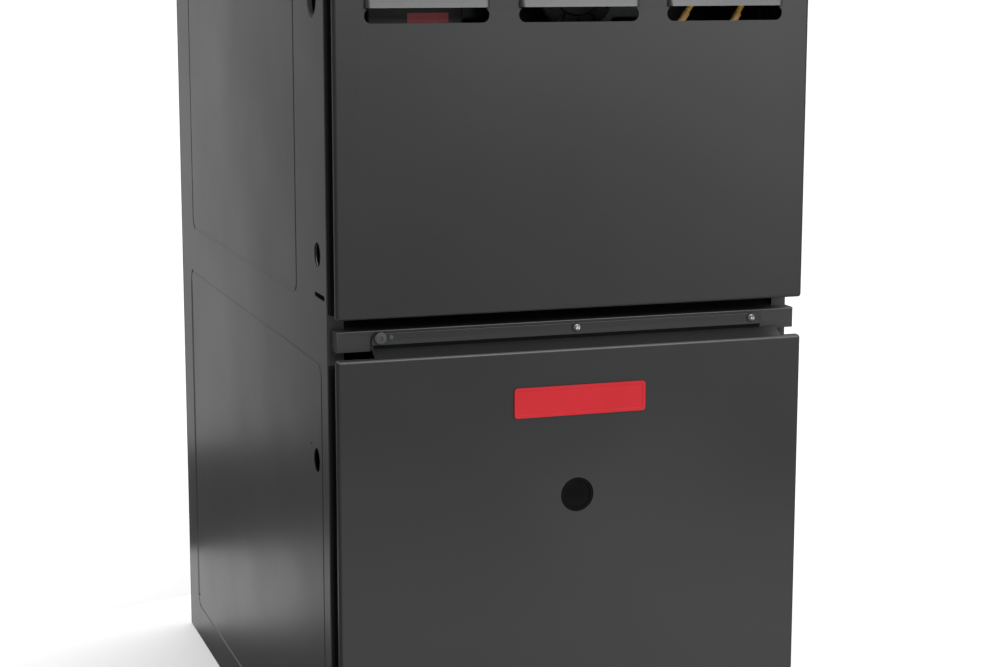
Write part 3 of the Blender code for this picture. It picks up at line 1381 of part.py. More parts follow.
def blower_wheel():
    """A double-inlet wheel: blades between two end rings, on a middle disc with a hub."""
    wheel = rod(
        "blower_wheel", (-SHEET, BLOWER_Y, BLOWER_Z), (1, 0, 0),
        WHEEL_RADIUS - WHEEL_RING_WIDTH / 4, 2 * SHEET, GALVANISED, 32,
    )
    hub_start = (-SHEET, BLOWER_Y, BLOWER_Z)
    hub = rod("wheel_hub", hub_start, (1, 0, 0), HUB_RADIUS, HUB_LENGTH, sides=16)
    join(wheel, hub)
    middle = WHEEL_RADIUS - WHEEL_RING_WIDTH / 2
    shape = bmesh.new()
    for i in range(WHEEL_BLADES):
        turn = 2 * math.pi * i / WHEEL_BLADES
        made = bmesh.ops.create_cube(shape, size=1.0)
        blade_size = Vector((2 * WHEEL_HALF_WIDTH, WHEEL_BLADE_THICKNESS, WHEEL_BLADE_CHORD * 0.9))
        bmesh.ops.scale(shape, vec=blade_size, verts=made["verts"])
        lean = Matrix.Rotation(math.radians(28), 3, "X")
        bmesh.ops.rotate(shape, matrix=lean, verts=made["verts"])
        bmesh.ops.translate(shape, vec=(0, 0, middle), verts=made["verts"])
        bmesh.ops.rotate(shape, matrix=Matrix.Rotation(turn, 3, "X"), verts=made["verts"])
    blades = from_shape("wheel_blades", shape, (0, BLOWER_Y, BLOWER_Z), None)
    join(wheel, blades)
    for side in (-1, 1):
        centre = (BLOWER_Y, BLOWER_Z)
        inner = WHEEL_RADIUS - WHEEL_RING_WIDTH
        outlines = [circle(centre, WHEEL_RADIUS, 32), circle(centre, inner, 32)]
        join(wheel, plate(f"wheel_ring_{side}", outlines, 3 * SHEET, "X", side * WHEEL_HALF_WIDTH))
    bore = rod(
        "wheel_bore", (-4 * SHEET, BLOWER_Y, BLOWER_Z), (1, 0, 0),
        around(BLOWER_SHAFT_RADIUS, 16), HUB_LENGTH + 8 * SHEET, sides=16,
    )
    cut(wheel, bore)
    motor_inner = MOTOR_LENGTH - BLOWER_HALF_WIDTH - MOTOR_PROUD
    start = motor_inner - MOTOR_LENGTH / 3
    rod(
        "blower_shaft", (start, BLOWER_Y, BLOWER_Z), (1, 0, 0), BLOWER_SHAFT_RADIUS,
        HUB_LENGTH + 4 * SHEET - start, STEEL_SHAFT, 16,
    )


def blower_motor():
    """The motor in the blower's left inlet, with a hole for its shaft."""
    bore = around(BLOWER_SHAFT_RADIUS, 28)
    bore_start = MOTOR_LENGTH * 2 / 3 - 4 * GAP
    profile = [
        (bore, MOTOR_LENGTH),
        (MOTOR_RADIUS * 0.45, MOTOR_LENGTH),
        (MOTOR_RADIUS * 0.5, MOTOR_LENGTH - 0.006),
        (MOTOR_RADIUS * 0.9, MOTOR_LENGTH - 0.008),
        (MOTOR_RADIUS, MOTOR_LENGTH - 0.020),
        (MOTOR_RADIUS, 0.010),
        (MOTOR_RADIUS * 0.88, 0.0),
        (0, 0.0),
        (0, bore_start),
        (bore, bore_start),
    ]
    start = (-BLOWER_HALF_WIDTH - MOTOR_PROUD, BLOWER_Y, BLOWER_Z)
    turned("blower_motor", profile, start, (1, 0, 0), BLACK_PAINT, 28)


def motor_bracket():
    """A band round the motor with three arms onto the blower's left side plate."""
    seat = -BLOWER_HALF_WIDTH - GAP
    inner = around(MOTOR_RADIUS, 28)
    centre = (BLOWER_Y, BLOWER_Z)
    outlines = [circle(centre, inner + BAND_THICKNESS, 28), circle(centre, inner, 28)]
    band = plate("motor_bracket", outlines, BAND_WIDTH, "X", seat - BAND_WIDTH / 2, GALVANISED)
    reach = BLOWER_EYE_RADIUS + ARM_OVERLAP
    for i in range(3):
        arm = box(
            f"motor_arm_{i}",
            (seat - ARM_THICKNESS, -ARM_WIDTH / 2, inner + BAND_THICKNESS / 2),
            (seat, ARM_WIDTH / 2, reach),
        )
        turn = Matrix.Rotation(2 * math.pi * i / 3 + math.pi, 4, "X")
        place = Matrix.Translation((0, BLOWER_Y, BLOWER_Z)) @ turn
        arm.matrix_world = place @ Matrix.Translation(arm.location)
        join(band, arm)


def capacitor_place():
    x = BLOWER_HALF_WIDTH + GAP + CAPACITOR_RADIUS
    return x, BLOWER_Y - CAPACITOR_FORWARD, BLOWER_TOP - CAPACITOR_DROP - CAPACITOR_LENGTH


def capacitor():
    x, y, z = capacitor_place()
    top = z + CAPACITOR_LENGTH
    can = rod("capacitor", (x, y, z), (0, 0, 1), CAPACITOR_RADIUS, CAPACITOR_LENGTH, CAST_ALUMINIUM)
    terminals = box(
        "capacitor_terminals",
        (x - TERMINAL_WIDTH / 2, y - TERMINAL_DEPTH / 2, top - SHEET),
        (x + TERMINAL_WIDTH / 2, y + TERMINAL_DEPTH / 2, top + TERMINAL_HEIGHT),
    )
    join(can, terminals)


def capacitor_strap():
    """A strap round the capacitor, with its two feet on the blower's side plate."""
    x, y, z = capacitor_place()
    wall = BLOWER_HALF_WIDTH + GAP
    inner = around(CAPACITOR_RADIUS, 24)
    outer = inner + SHEET
    foot = outer + STRAP_FOOT
    outline = [(wall, y - foot), (wall, y - inner), (x, y - inner)]
    outline += arc((x, y), inner, -90, 90, 12)[1:]
    outline += [(wall, y + inner), (wall, y + foot)]
    outline += [(wall + SHEET, y + foot), (wall + SHEET, y + outer)]
    outline += arc((x, y), outer, 90, -90, 12)
    outline += [(wall + SHEET, y - outer), (wall + SHEET, y - foot)]
    plate("capacitor_strap", [outline], STRAP_WIDTH, "Z", z + CAPACITOR_LENGTH / 2, GALVANISED)


def board_tray():
    """A plate that hangs from the deck and carries the controls."""
    y = behind_doors(TRAY_SETBACK)
    tray = box(
        "board_tray",
        (-TRAY_HALF_WIDTH, y, DECK_UNDER - GAP - TRAY_HEIGHT),
        (TRAY_HALF_WIDTH, y + SHEET, DECK_UNDER - GAP),
        GALVANISED,
    )
    flange = box(
        "tray_flange",
        (-TRAY_HALF_WIDTH, y + SHEET / 2, DECK_UNDER - GAP - SHEET),
        (TRAY_HALF_WIDTH, y + TRAY_FLANGE, DECK_UNDER - GAP),
    )
    join(tray, flange)


def control_board():
    """The circuit board on its standoffs, with relays and a terminal strip."""
    tray = behind_doors(TRAY_SETBACK) - GAP
    back = tray - BOARD_STANDOFF
    top = DECK_UNDER - BOARD_DROP
    left = BOARD_OFFSET - BOARD_WIDTH / 2
    right = BOARD_OFFSET + BOARD_WIDTH / 2
    bottom = top - BOARD_HEIGHT
    face = back - BOARD_THICKNESS
    board = box("control_board", (left, face, bottom), (right, back, top), BOARD_GREEN)
    corners = rectangle(*grown((left, bottom), (right, top), -STANDOFF_INSET))
    for i, (x, z) in enumerate(corners):
        place = (x, tray, z)
        length = BOARD_STANDOFF + SHEET
        join(board, rod(f"standoff_{i}", place, (0, -1, 0), STANDOFF_RADIUS, length, sides=8))
    width, depth, height = RELAY_SIZE
    relay_top = top - RELAY_DROP
    for i in range(3):
        x = left + RELAY_INSET + i * RELAY_PITCH
        low = (x, face - depth, relay_top - height)
        join(board, box(f"relay_{i}", low, (x + width, face + SHEET, relay_top)))
    strip_foot = bottom + STRIP_RISE
    strip = box(
        "terminal_strip", (left + STRIP_INSET, face - STRIP_DEPTH, strip_foot),
        (right - STRIP_INSET, face + SHEET, strip_foot + STRIP_HEIGHT),
    )
    join(board, strip)


def transformer():
    """A laminated core with its coil, on the left of the tray."""
    back = behind_doors(TRAY_SETBACK) - GAP
    left = SHEET - TRAY_HALF_WIDTH
    top = DECK_UNDER - TRANSFORMER_DROP
    bottom = top - TRANSFORMER_HEIGHT
    right = left + TRANSFORMER_WIDTH
    front = back - TRANSFORMER_DEPTH
    core = box(
        "transformer",
        (left, front + CORE_FRONT_INSET, bottom),
        (right, back - CORE_BACK_INSET, top),
        BLACK_PAINT,
    )
    coil = box(
        "transformer_coil",
        (left + COIL_INSET, front, bottom + COIL_INSET),
        (right - COIL_INSET, back, top - COIL_INSET),
    )
    join(core, coil)


def door_switch():
    """The interlock: the closed lower door holds its plunger in."""
    x = DOOR_SWITCH_OFFSET
    front = behind_doors(DOOR_SWITCH_SETBACK)
    top = LOWER_DOOR_TOP - DOOR_FRAME_INSET - 3 * SHEET
    bottom = top - DOOR_SWITCH_HEIGHT
    z = (bottom + top) / 2
    back = front + DOOR_SWITCH_DEPTH
    half = DOOR_SWITCH_WIDTH / 2
    body = box("door_switch", (x - half, front, bottom), (x + half, back, top), BLACK_PLASTIC)
    hanger = box(
        "switch_hanger",
        (x - half, back - HANGER_DEPTH, bottom),
        (x + half, back, DECK_UNDER - GAP),
    )
    bore = rod(
        "plunger_bore", (x, front - SHEET, z), (0, 1, 0),
        around(PLUNGER_RADIUS, 12), PLUNGER_BORE_DEPTH + SHEET, sides=12,
    )
    join(body, hanger)
    cut(body, bore)
    start = DOOR_FACE + SHEET + GAP
    length = front + PLUNGER_BORE_DEPTH - PLUNGER_TRAVEL - GAP - start
    rod("door_switch_plunger", (x, start, z), (0, 1, 0), PLUNGER_RADIUS, length, GREY_PLASTIC, 12)


def junction_box():
    """The mains wiring box inside the casing's left side, behind its knockout."""
    setback, z = knockout_centres()[0]
    low = (-INNER_HALF, behind_doors(JUNCTION_SETBACK), z - JUNCTION_HEIGHT / 2)
    high = (
        low[0] + JUNCTION_WIDTH,
        behind_doors(JUNCTION_SETBACK) + JUNCTION_DEPTH,
        z + JUNCTION_HEIGHT / 2,
    )
    wiring_box = pan("junction_box", low, high, [(0, -1, 0)], GALVANISED)
    start = (low[0] - SHEET, setback, z)
    cut(wiring_box, rod("wiring_entry", start, (1, 0, 0), KNOCKOUT_DIAMETER / 2, 3 * SHEET))
    box(
        "junction_cover",
        (low[0], low[1] - GAP - SHEET, low[2]),
        (high[0] + SHEET, low[1] - GAP, high[2]),
        GALVANISED,
    )


def build():
    casing_side("left_side_panel", -1)
    casing_side("right_side_panel", 1)
    back_panel()
    top_panel()
    base_panel()
    blower_deck()
    front_rail()
    vestibule_panel()
    upper_door()
    lower_door()
    door_screws()
    badge_plate()
    sight_glass()
    heat_tubes()
    collector_box()
    inducer_housing()
    inducer_wheel()
    inducer_motor()
    vent_collar()
    burners()
    burner_bracket()
    gas_manifold()
    gas_valve()
    gas_valve_knob()
    igniter()
    flame_sensor()
    rollout_switch()
    limit_switch()
    pressure_switch()
    pressure_hose()
    control_wires()
    blower_side("blower_side_left", -1)
    blower_side("blower_side_right", 1)
    blower_scroll()
    blower_rail("blower_rail_left", -1)
    blower_rail("blower_rail_right", 1)
    blower_wheel()
    blower_motor()
    motor_bracket()
    capacitor()
    capacitor_strap()
    board_tray()
    control_board()
    transformer()
    door_switch()
    junction_box()
    print(len(furnace.objects), "pieces,", round(CASING_HEIGHT * 1000, 1), "mm tall casing")


build()
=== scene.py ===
import json
import math

import bmesh
import bpy
from mathutils import Matrix, Vector


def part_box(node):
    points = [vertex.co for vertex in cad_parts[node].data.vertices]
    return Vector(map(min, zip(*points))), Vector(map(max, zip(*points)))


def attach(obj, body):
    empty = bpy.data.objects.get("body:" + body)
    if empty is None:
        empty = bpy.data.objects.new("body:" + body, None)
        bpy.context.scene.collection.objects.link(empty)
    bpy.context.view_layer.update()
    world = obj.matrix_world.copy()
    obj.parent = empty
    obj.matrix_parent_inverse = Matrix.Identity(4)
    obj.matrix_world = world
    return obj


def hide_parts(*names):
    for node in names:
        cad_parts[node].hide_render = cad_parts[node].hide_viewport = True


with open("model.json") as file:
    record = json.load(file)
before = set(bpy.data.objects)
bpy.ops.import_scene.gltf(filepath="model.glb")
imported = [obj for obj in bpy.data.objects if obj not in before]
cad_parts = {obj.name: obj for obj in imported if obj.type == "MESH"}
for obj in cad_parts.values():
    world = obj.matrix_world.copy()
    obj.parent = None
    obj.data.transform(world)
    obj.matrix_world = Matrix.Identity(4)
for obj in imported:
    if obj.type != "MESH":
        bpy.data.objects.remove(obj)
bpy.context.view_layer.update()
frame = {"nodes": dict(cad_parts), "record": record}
nodes = frame["nodes"]

# Camera, as in the photograph: metres, degrees, and the lens for a 36 mm sensor
shot = {"place": (-0.67365, -2.1595, 0.81077), "lens": 77.9,
        "yaw": 18.53, "pitch": 10.065, "roll": 0.088}


def aimCamera():
    yaw, pitch, roll = (math.radians(shot[key]) for key in ("yaw", "pitch", "roll"))
    level = math.cos(pitch)
    ahead = Vector((math.sin(yaw) * level, math.cos(yaw) * level, -math.sin(pitch)))
    across = Vector((math.cos(yaw), -math.sin(yaw), 0))
    up = across.cross(ahead)
    right = across * math.cos(roll) + up * math.sin(roll)
    top = up * math.cos(roll) - across * math.sin(roll)
    data = bpy.data.cameras.new("photo_camera")
    data.lens = shot["lens"]
    data.sensor_width = 36
    data.clip_end = 500
    camera = bpy.data.objects.new("photo_camera", data)
    turn = Matrix((right, top, -ahead)).transposed().to_4x4()
    camera.matrix_world = Matrix.Translation(shot["place"]) @ turn
    bpy.context.scene.collection.objects.link(camera)
    bpy.context.scene.camera = camera


# Studio: a white floor under a bright ceiling, soft boxes in front, at the right and low in
# front, and narrow ones on the left for the sheen along the casing's side
studio = {
    "floor": (0.86, 0.86, 0.86),
    "ceiling": 2.1,
    "left": 0.14,
    "right": 0.34,
    "lights": {  # place, target, size and watts
        "front": ((0.85, -2.55, 1.75), (0, -0.35, 0.7), (1.2, 0.9), 36),
        "right": ((1.20, -1.85, 0.85), (0.2, -0.37, 0.60), (0.8, 1.0), 4.2),
        "rear_left": ((-0.38, 0.80, 0.67), (-0.222, 0.2, 0.67), (0.14, 1.10), 0.48),
        "low_left": ((-0.32, 0.45, 0.012), (-0.222, 0.15, 0.07), (0.34, 0.10), 0.10),
        "low_front": ((0.20, -0.85, 0.01), (0.05, -0.37, 0.05), (0.9, 0.3), 0.6),
    },
}


def setStudio():
    scene = bpy.context.scene
    scene.view_settings.view_transform = "Standard"
    scene.view_settings.look = "None"
    scene.world = bpy.data.worlds.new("studio")
    scene.world.use_nodes = True
    sky = Graph(scene.world.node_tree)
    way = sky.node("TexCoord", {}, {}, "Generated")
    toRight = {0: way, 1: (0.8, -0.6, 0)}
    side = sky.node("VectorMath", {"operation": "DOT_PRODUCT"}, toRight, "Value")
    walls = sky.span(side, -0.6, 0.9, studio["left"], studio["right"])
    roof = sky.span(sky.node("SeparateXYZ", {}, {0: way}, "Z"), 0.45, 0.8)
    back = sky.tree.nodes["Background"]
    back.inputs["Color"].default_value = (1, 1, 1, 1)
    sky.plug(back.inputs["Strength"], walls + roof * (studio["ceiling"] - walls))
    for name, (place, target, size, watts) in studio["lights"].items():
        lamp = bpy.data.lights.new(name, "AREA")
        lamp.shape = "RECTANGLE"
        lamp.size, lamp.size_y = size
        lamp.energy = watts
        light = bpy.data.objects.new(name, lamp)
        light.location = place
        aim = Vector(target) - Vector(place)
        light.rotation_euler = aim.to_track_quat("-Z", "Y").to_euler()
        light.visible_camera = False
        scene.collection.objects.link(light)


class Signal:  # a number, vector or colour on its way through the shader nodes
    def __init__(self, graph, socket):
        self.graph = graph
        self.socket = socket

    def __add__(self, other):
        return self.graph.maths("ADD", self, other)

    def __radd__(self, other):
        return self.graph.maths("ADD", other, self)

    def __sub__(self, other):
        return self.graph.maths("SUBTRACT", self, other)

    def __rsub__(self, other):
        return self.graph.maths("SUBTRACT", other, self)

    def __mul__(self, other):
        return self.graph.maths("MULTIPLY", self, other)

    def __rmul__(self, other):
        return self.graph.maths("MULTIPLY", other, self)


class Graph:  # a tree of shader nodes
    def __init__(self, tree):
        self.tree = tree

    def plug(self, socket, value):
        if isinstance(value, Signal):
            self.tree.links.new(value.socket, socket)
        elif isinstance(value, (tuple, list)) and socket.type == "RGBA" and len(value) == 3:
            socket.default_value = (*value, 1)
        else:
            socket.default_value = value

    def node(self, kind, settings, sockets, output=0):
        made = self.tree.nodes.new("ShaderNode" + kind)
        for key, value in settings.items():
            setattr(made, key, value)
        for key, value in sockets.items():
            self.plug(made.inputs[key], value)
        return Signal(self, made.outputs[output])

    def maths(self, operation, a, b=0.0):
        return self.node("Math", {"operation": operation}, {0: a, 1: b})

    def span(self, value, low, high, toLow=0.0, toHigh=1.0):
        sockets = {"Value": value, "From Min": low, "From Max": high,
                   "To Min": toLow, "To Max": toHigh}
        return self.node("MapRange", {"interpolation_type": "SMOOTHSTEP"}, sockets)

    def blend(self, factor, a, b):
        return self.node("Mix", {"data_type": "RGBA"}, {0: factor, 6: a, 7: b}, 2)


class Finish(Graph):  # one material
    def __init__(self, name, **fixed):
        self.material = bpy.data.materials.new(name)
        self.material.use_nodes = True
        super().__init__(self.material.node_tree)
        self.shader = self.tree.nodes["Principled BSDF"]
        for socket, value in fixed.items():
            self.set(socket.replace("_", " "), value)

    def set(self, socket, value):
        self.plug(self.shader.inputs[socket], value)

    def place(self, scale=(1, 1, 1)):
        where = self.node("TexCoord", {}, {}, "Object")
        return self.node("Mapping", {}, {"Vector": where, "Scale": scale})

    def noise(self, scale, detail=2.0, rough=0.5, stretch=(1, 1, 1)):
        sockets = {"Vector": self.place(stretch), "Scale": scale, "Detail": detail,
                   "Roughness": rough}
        return self.node("TexNoise", {}, sockets, "Fac")

    def bumps(self, height, strength, distance):
        sockets = {"Height": height, "Strength": strength, "Distance": distance}
        self.set("Normal", self.node("Bump", {}, sockets, "Normal"))

    def edges(self, low, high):  # 1 on outer edges, 0 on flats
        pointed = self.node("NewGeometry", {}, {}, "Pointiness")
        return self.span(pointed, low, high)


# Semi-gloss charcoal powder coat: casing and doors differ a little
coats = {
    "casing": {"shade": (0.0165, 0.0165, 0.017), "lift": 1.30},
    "door": {"shade": (0.0125, 0.0127, 0.0133), "lift": 1.25},
}


def powderCoat(name, look):
    paint = Finish(name)
    shade = look["shade"]
    light = tuple(c * look["lift"] for c in shade)
    cloudy = paint.noise(2.3, 3.0)
    speckle = paint.noise(900, 2.0)
    worn = paint.edges(0.53, 0.62)
    tone = paint.blend(paint.span(cloudy, 0.35, 0.65), shade, light)
    tone = paint.blend(paint.span(speckle, 0.55, 0.75) * 0.35, tone, tuple(c * 1.8 for c in shade))
    paint.set("Base Color", paint.blend(worn * 0.25, tone, tuple(c * 3 for c in shade)))
    smudge = paint.noise(6, 4.0, 0.6)
    paint.set("Roughness", 0.29 + 0.10 * smudge + 0.05 * speckle)
    peel = paint.noise(420, 1.0) * 0.7 + speckle * 0.3
    paint.bumps(peel, 0.10, 0.0004)
    return paint.material


# Galvanised tones: the second set is a darker copy of the same zinc, painted shade for parts deep
# inside the casing
zincCoat = {
    "open": {"dark": (0.165, 0.172, 0.178), "bright": (0.245, 0.253, 0.26), "spangle": 150},
    "painted_shade": {"dark": (0.048, 0.050, 0.052), "bright": (0.076, 0.079, 0.082), "spangle": 150},
}


def galvanisedSheet(name, look=zincCoat["open"]):
    zinc = Finish(name, Metallic=0.9)
    cells = zinc.node("TexVoronoi", {}, {"Vector": zinc.place(), "Scale": look["spangle"]}, "Color")
    grey = zinc.node("SeparateColor", {}, {"Color": cells}, 0)
    streak = zinc.noise(30, 3.0, 0.6, (1, 1, 8))
    zinc.set("Base Color", zinc.blend(grey * 0.7 + streak * 0.3, look["dark"], look["bright"]))
    zinc.set("Roughness", 0.34 + 0.22 * grey + 0.08 * streak)
    zinc.bumps(grey + zinc.noise(500) * 0.4, 0.05, 0.0003)
    return zinc.material


def aluminisedSheet(name):
    skin = Finish(name, Metallic=0.85)
    mottle = skin.noise(45, 4.0, 0.65)
    fine = skin.noise(700, 2.0)
    soot = skin.span(skin.noise(9, 3.0), 0.5, 0.75)
    tone = skin.blend(skin.span(mottle, 0.35, 0.7), (0.30, 0.295, 0.28), (0.50, 0.50, 0.49))
    skin.set("Base Color", skin.blend(soot * 0.35, tone, (0.16, 0.14, 0.12)))
    skin.set("Roughness", 0.42 + 0.18 * mottle + 0.05 * fine)
    skin.bumps(fine * 0.5 + mottle * 0.5, 0.08, 0.0003)
    return skin.material


def mottled(name, cloud, grain, tones, rough, bump, edge=None, **fixed):
    # two tones in clouds under a fine grain; rough is the roughness and what cloud and grain add
    made = Finish(name, **fixed)
    clouds, grains = made.noise(*cloud), made.noise(*grain)
    made.set("Base Color", made.blend(made.span(clouds, *edge) if edge else clouds, *tones))
    made.set("Roughness", rough[0] + rough[1] * clouds + rough[2] * grains)
    made.bumps(grains, *bump)
    return made.material


def zincPlating(name, tint=(0.62, 0.62, 0.60)):
    return mottled(name, cloud=(120, 3.0), grain=(260, 2.0, 0.5, (1, 14, 1)), edge=(0.3, 0.7),
                   tones=(tuple(c * 0.55 for c in tint), tint), rough=(0.26, 0.1, 0.16),
                   bump=(0.08, 0.0002), Metallic=1.0)


def mouldedPlastic(name, shade, rough=0.45):
    return mottled(name, cloud=(20, 2.0), grain=(1100, 1.0), rough=(rough, 0.12, 0),
                   tones=(shade, tuple(min(1, c * 1.35 + 0.01) for c in shade)),
                   bump=(0.10, 0.0003))


def blackPaint(name):
    paint = Finish(name)
    dust = paint.noise(14, 4.0, 0.6)
    grain = paint.noise(600, 2.0)
    worn = paint.edges(0.54, 0.64)
    tone = paint.blend(paint.span(dust, 0.4, 0.8), (0.012, 0.012, 0.013), (0.035, 0.034, 0.033))
    paint.set("Base Color", paint.blend(worn * 0.3, tone, (0.11, 0.11, 0.11)))
    paint.set("Roughness", 0.40 + 0.22 * dust)
    paint.bumps(grain, 0.12, 0.0004)
    return paint.material


def firedCeramic(name):
    ceramic = Finish(name)
    speck = ceramic.noise(350, 3.0)
    stain = ceramic.noise(40, 3.0)
    tone = ceramic.blend(ceramic.span(stain, 0.45, 0.75), (0.78, 0.76, 0.70), (0.60, 0.55, 0.46))
    specks = ceramic.span(speck, 0.6, 0.75) * 0.4
    ceramic.set("Base Color", ceramic.blend(specks, tone, (0.4, 0.37, 0.33)))
    ceramic.set("Roughness", 0.50 + 0.2 * speck)
    ceramic.bumps(speck, 0.15, 0.0003)
    return ceramic.material


def lacqueredBoard(name):
    board = Finish(name)
    tracks = board.node(
        "TexBrick", {"offset": 0.5},
        {"Vector": board.place((1, 0, 1)), "Scale": 90, "Color1": (1, 1, 1),
         "Color2": (0.7, 0.7, 0.7), "Mortar": (0, 0, 0), "Mortar Size": 0.03}, "Fac")
    cloud = board.noise(50, 3.0)
    tone = board.blend(cloud, (0.012, 0.10, 0.035), (0.02, 0.15, 0.055))
    board.set("Base Color", board.blend(tracks * 0.7, tone, (0.05, 0.27, 0.11)))
    board.set("Roughness", 0.32 + 0.18 * cloud)
    board.bumps(tracks, 0.2, 0.0002)
    return board.material


# near-black foam with almost no sheen: painted shade for the deep gaps beside the doors and the
# crease under the lower door's lip
def foamPaintedShade(name):
    foam = Finish(name, Specular_IOR_Level=0.05)
    cells = foam.node("TexVoronoi", {}, {"Vector": foam.place(), "Scale": 900}, "Distance")
    foam.set("Base Color", foam.blend(cells, (0.0015, 0.0015, 0.0015), (0.006, 0.006, 0.006)))
    foam.set("Roughness", 0.85 + 0.1 * cells)
    foam.bumps(cells, 0.4, 0.0004)
    return foam.material


rings, haze = (90, 2.0, 0.5, (30, 1, 1)), (60, 3.0)
finishes = {
    "casing_paint": powderCoat("charcoal casing coat", coats["casing"]),
    "door_paint": powderCoat("charcoal door coat", coats["door"]),
    "galvanised_steel": galvanisedSheet("galvanised sheet"),
    "aluminised_steel": aluminisedSheet("aluminised sheet"),
    "zinc_in_painted_shade": galvanisedSheet("galvanised sheet in painted shade", zincCoat["painted_shade"]),
    "zinc_plated": zincPlating("zinc plating"),
    "bright_zinc": zincPlating("bright zinc plating", (0.90, 0.89, 0.86)),
    "shaft_steel": mottled(
        "ground steel", cloud=rings, grain=rings, rough=(0.18, 0.14, 0), bump=(0.06, 0.0002),
        tones=((0.42, 0.42, 0.43), (0.66, 0.66, 0.67)), Metallic=1.0),
    "black_paint": blackPaint("black motor paint"),
    "cast_aluminium": mottled(
        "cast aluminium", cloud=(25, 3.0), grain=(420, 3.0, 0.6), rough=(0.42, 0, 0.2),
        tones=((0.34, 0.345, 0.35), (0.52, 0.53, 0.54)), bump=(0.30, 0.0005), Metallic=0.85),
    "black_plastic": mouldedPlastic("black plastic", (0.012, 0.012, 0.013)),
    "grey_plastic": mouldedPlastic("grey plastic", (0.20, 0.20, 0.21), 0.5),
    "red_vinyl": mottled(
        "red vinyl", cloud=(18, 2.0), grain=(800, 1.0), rough=(0.34, 0.1, 0), bump=(0.05, 0.0002),
        tones=((0.34, 0.005, 0.011), (0.43, 0.009, 0.016)), Specular_IOR_Level=0.25),
    "foam_painted_shade": foamPaintedShade("near-black foam, painted shade"),
    "faded_red": mouldedPlastic("faded red", (0.36, 0.062, 0.066), 0.5),
    "dull_grey": mouldedPlastic("dull grey", (0.026, 0.029, 0.028), 0.55),
    "peach_sleeve": mouldedPlastic("peach sleeve", (0.72, 0.42, 0.13), 0.4),
    "red_plastic": mouldedPlastic("red plastic", (0.50, 0.02, 0.02)),
    # near-black, with almost no reflection: painted shade for the dark hole of the sight glass
    "lens": mottled(
        "near-black lens in painted shade", cloud=haze, grain=haze, rough=(0.10, 0.12, 0), bump=(0.03, 0.0002),
        tones=((0.002, 0.002, 0.002), (0.007, 0.007, 0.008)), IOR=1.5, Specular_IOR_Level=0.02),
    "ceramic": firedCeramic("fired ceramic"),
    "circuit_board": lacqueredBoard("lacquered board"),
    "hose_rubber": mottled(
        "hose rubber", cloud=(60, 4.0), grain=(800,), rough=(0.62, 0.2, 0), bump=(0.15, 0.0003),
        tones=((0.014, 0.014, 0.014), (0.04, 0.04, 0.04))),
    "yellow_insulation": mottled(
        "yellow insulation", cloud=(40, 2.0), grain=(500,), rough=(0.36, 0.14, 0),
        tones=((0.82, 0.54, 0.07), (0.80, 0.46, 0.06)), bump=(0.05, 0.0002), edge=(0.4, 0.65)),
}
print("finishes:", len(finishes))


def mm(*points):  # points in millimetres
    return [tuple(number / 1000 for number in point) for point in points]


def selectAll():
    bpy.ops.mesh.select_all(action="SELECT")


def clearSelection():
    if bpy.context.object and bpy.context.object.mode != "OBJECT":
        bpy.ops.object.mode_set(mode="OBJECT")
    for thing in list(bpy.context.selected_objects):
        thing.select_set(False)


def focus(piece):
    clearSelection()
    piece.select_set(True)
    bpy.context.view_layer.objects.active = piece


def adopt(name):
    piece = bpy.context.active_object
    piece.name = name
    piece.data.name = name
    return piece


def settle(piece):
    focus(piece)
    bpy.ops.object.transform_apply()
    return piece


def block(name, low, high):
    clearSelection()
    middle = [(a + b) / 2 for a, b in zip(low, high)]
    bpy.ops.mesh.primitive_cube_add(size=1, location=middle)
    piece = adopt(name)
    piece.scale = [b - a for a, b in zip(low, high)]
    return settle(piece)


def edit(piece, kind="FACE"):
    if bpy.context.object != piece or piece.mode != "EDIT":
        focus(piece)
        bpy.ops.object.mode_set(mode="EDIT")
    bpy.ops.mesh.select_mode(type=kind)


def done():
    bpy.ops.object.mode_set(mode="OBJECT")


def pick(piece, kind, test):  # selects faces, edges or points by their place
    edit(piece, kind)
    bpy.ops.mesh.select_all(action="DESELECT")
    shape = bmesh.from_edit_mesh(piece.data)
    shape.faces.ensure_lookup_table()
    for part in {"FACE": shape.faces, "EDGE": shape.edges, "VERT": shape.verts}[kind]:
        if test(part):
            part.select_set(True)
    shape.select_flush_mode()
    bmesh.update_edit_mesh(piece.data)


def facing(x=0, y=0, z=0):
    way = Vector((x, y, z))
    return lambda face: face.normal.dot(way) > 0.95


def along(axis, test=lambda middle: True):  # an edge along an axis, whose middle passes the test
    def check(edge):
        a, b = (v.co for v in edge.verts)
        run = (b - a).normalized()
        return abs(run["xyz".index(axis)]) > 0.99 and test((a + b) / 2)
    return check


def onPlane(edge, y):
    return all(abs(v.co.y - y) < 1e-5 for v in edge.verts)


def bevelWhere(piece, test, width, segments=3):
    pick(piece, "EDGE", test)
    bpy.ops.mesh.bevel(offset=width, segments=segments, affect="EDGES")
    done()


def dropFaces(piece, test):
    pick(piece, "FACE", test)
    bpy.ops.mesh.delete(type="FACE")


def rounded(name, low, high, axis, radius, segments):  # a block with round corners about an axis
    piece = block(name, low, high)
    bevelWhere(piece, along(axis), radius, segments)
    return piece


def finishWith(piece, kind, **settings):  # adds a modifier, sets it and applies it
    focus(piece)
    step = piece.modifiers.new(kind.title(), kind)
    for key, value in settings.items():
        setattr(step, key, value)
    bpy.ops.object.modifier_apply(modifier=step.name)
    return piece


def combine(piece, operation, tools):
    for tool in tools:
        finishWith(piece, "BOOLEAN", operation=operation, object=tool, solver="EXACT")
        bpy.data.objects.remove(tool)
    return piece


def carve(piece, *tools):
    return combine(piece, "DIFFERENCE", tools)


def weld(piece, *tools):
    return combine(piece, "UNION", tools)


